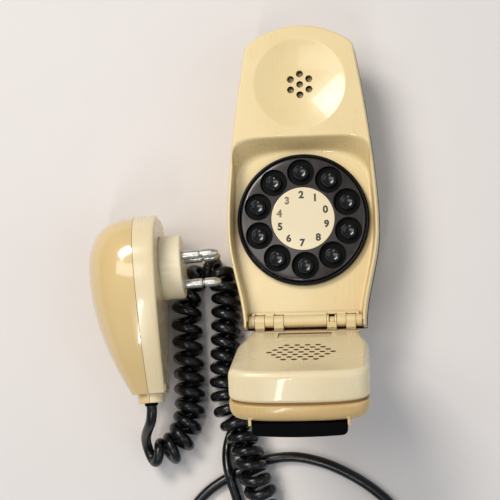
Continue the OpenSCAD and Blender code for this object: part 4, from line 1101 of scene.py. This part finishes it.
def strain_relief(length, thick, thin, flange):
    """A tapered sleeve with rings moulded round it."""
    profile = [(1.3, 0), (flange, 0), (flange, 1.1), (thick, 1.2), (thick, 5.5)]
    rings = 5
    span = (length - 7.5) / rings
    for k in range(rings):
        at = 6.2 + span * k
        r = mix(thick, thin, k / rings)
        profile += [(r, at), (r, at + span * 0.5), (r - 0.35, at + span * 0.6), (r - 0.35, at + span * 0.9)]
    profile += [(thin, length - 1), (thin - 0.3, length - 0.3), (thin - 0.6, length), (1.3, length), (1.3, 0)]
    return spun(profile, 48)


finish_piece(strain_relief(22.2, 4.85, 3.5, 5.5), "phone_strain_relief", rubber, "body", "body_strain_relief",
             slot="black_rubber", pose=Matrix.Translation((-24, -53.8, 24)) @ along_minus_y)
finish_piece(
    spun([(1.4, 0), (4.6, 0), (4.6, 1.5), (3.6, 1.5), (3.6, 15.9), (3.5, 16.3), (3.3, 16.5), (1.4, 16.5),
          (1.4, 0)], 40),
    "plug_cord_sleeve", rubber, "body", "plug_strain_relief", slot="black_rubber",
    pose=plug_pose @ Matrix.Translation((0, PLUG_END + 10, 0)) @ along_minus_y)


# ---- finishes of the pieces that keep their plain solids ----

kept = {
    steel: ("shell_screws", "hinge_pin", "hinge_spring", "dial_plate", "dial_screws",
            "stop_lug", "return_spring", "governor_cup", "wheel_screw", "dial_shaft", "button_springs",
            "microphone_capsule", "flap_screws", "ringer_frame", "ringer_armature", "plug_screw"),
    brass: ("board_capacitor", "hook_plunger", "dial_bush", "governor_spindle", "pulse_contacts", "main_gear",
            "ringer_capacitor"),
    winding: ("speech_transformer", "ringer_coil"),
    # the receiver capsule under the ear holes takes the black finish so the holes read dark: painted shade
    dial_black: ("terminal_strip", "hook_switch", "receiver_capsule"),
    seal_rubber: ("receiver_seal", "microphone_seal"),
    board_green: ("circuit_board",),
}
for material, names in kept.items():
    for name in names:
        nodes[name].data.materials.clear()
        nodes[name].data.materials.append(material)


# ---- the cord's points in metres; the list is not kept ----

[tuple(p * MM) for p in cord_points]


# ---- floor and light ----

floor_shape = bmesh.new()
bmesh.ops.create_grid(floor_shape, x_segments=1, y_segments=1, size=4)
floor_mesh = bpy.data.meshes.new("floor")
floor_shape.to_mesh(floor_mesh)
floor_shape.free()
floor = bpy.data.objects.new("floor", floor_mesh)
bpy.context.collection.objects.link(floor)
table_top = Finish("table_top")
grain = table_top.noise(30, 4, 0.6)
floor_mesh.materials.append(table_top.finish(
    Base_Color=table_top.blend(grain, rgb(0.76, 0.70, 0.66), rgb(0.78, 0.725, 0.69)), Roughness=0.55,
    Specular_IOR_Level=0.25))


def soft_light(name, place, aim, size, power, colour):
    lamp = bpy.data.lights.new(name, "AREA")
    lamp.shape = "RECTANGLE"
    lamp.size, lamp.size_y = size
    lamp.energy = power
    lamp.color = colour
    holder = bpy.data.objects.new(name, lamp)
    holder.location = place
    holder.rotation_euler = (Vector(aim) - Vector(place)).to_track_quat("-Z", "Y").to_euler()
    bpy.context.collection.objects.link(holder)


soft_light("window", (-0.5, 0.55, 1.1), (-0.02, -0.02, 0), (0.5, 0.34), 9.0, (1.0, 0.965, 0.91))
soft_light("second_window", (-0.5, 0.05, 1.3), (0, -0.02, 0), (0.34, 0.9), 3.7, (1.0, 0.955, 0.89))
soft_light("strip", (-0.17, -0.72, 1.11), (0, -0.07, 0.11), (0.05, 0.5), 2.1, (1.0, 0.98, 0.95))
soft_light("fill", (0.75, -0.2, 1.0), (0, 0, 0), (0.9, 0.9), 2.6, (0.8, 0.9, 1.0))
sky = bpy.data.worlds.new("sky")
sky.use_nodes = True
sky.node_tree.nodes["Background"].inputs["Color"].default_value = (0.74, 0.86, 1.0, 1)
sky.node_tree.nodes["Background"].inputs["Strength"].default_value = 0.31
bpy.context.scene.world = sky
bpy.context.scene.view_settings.view_transform = "Standard"
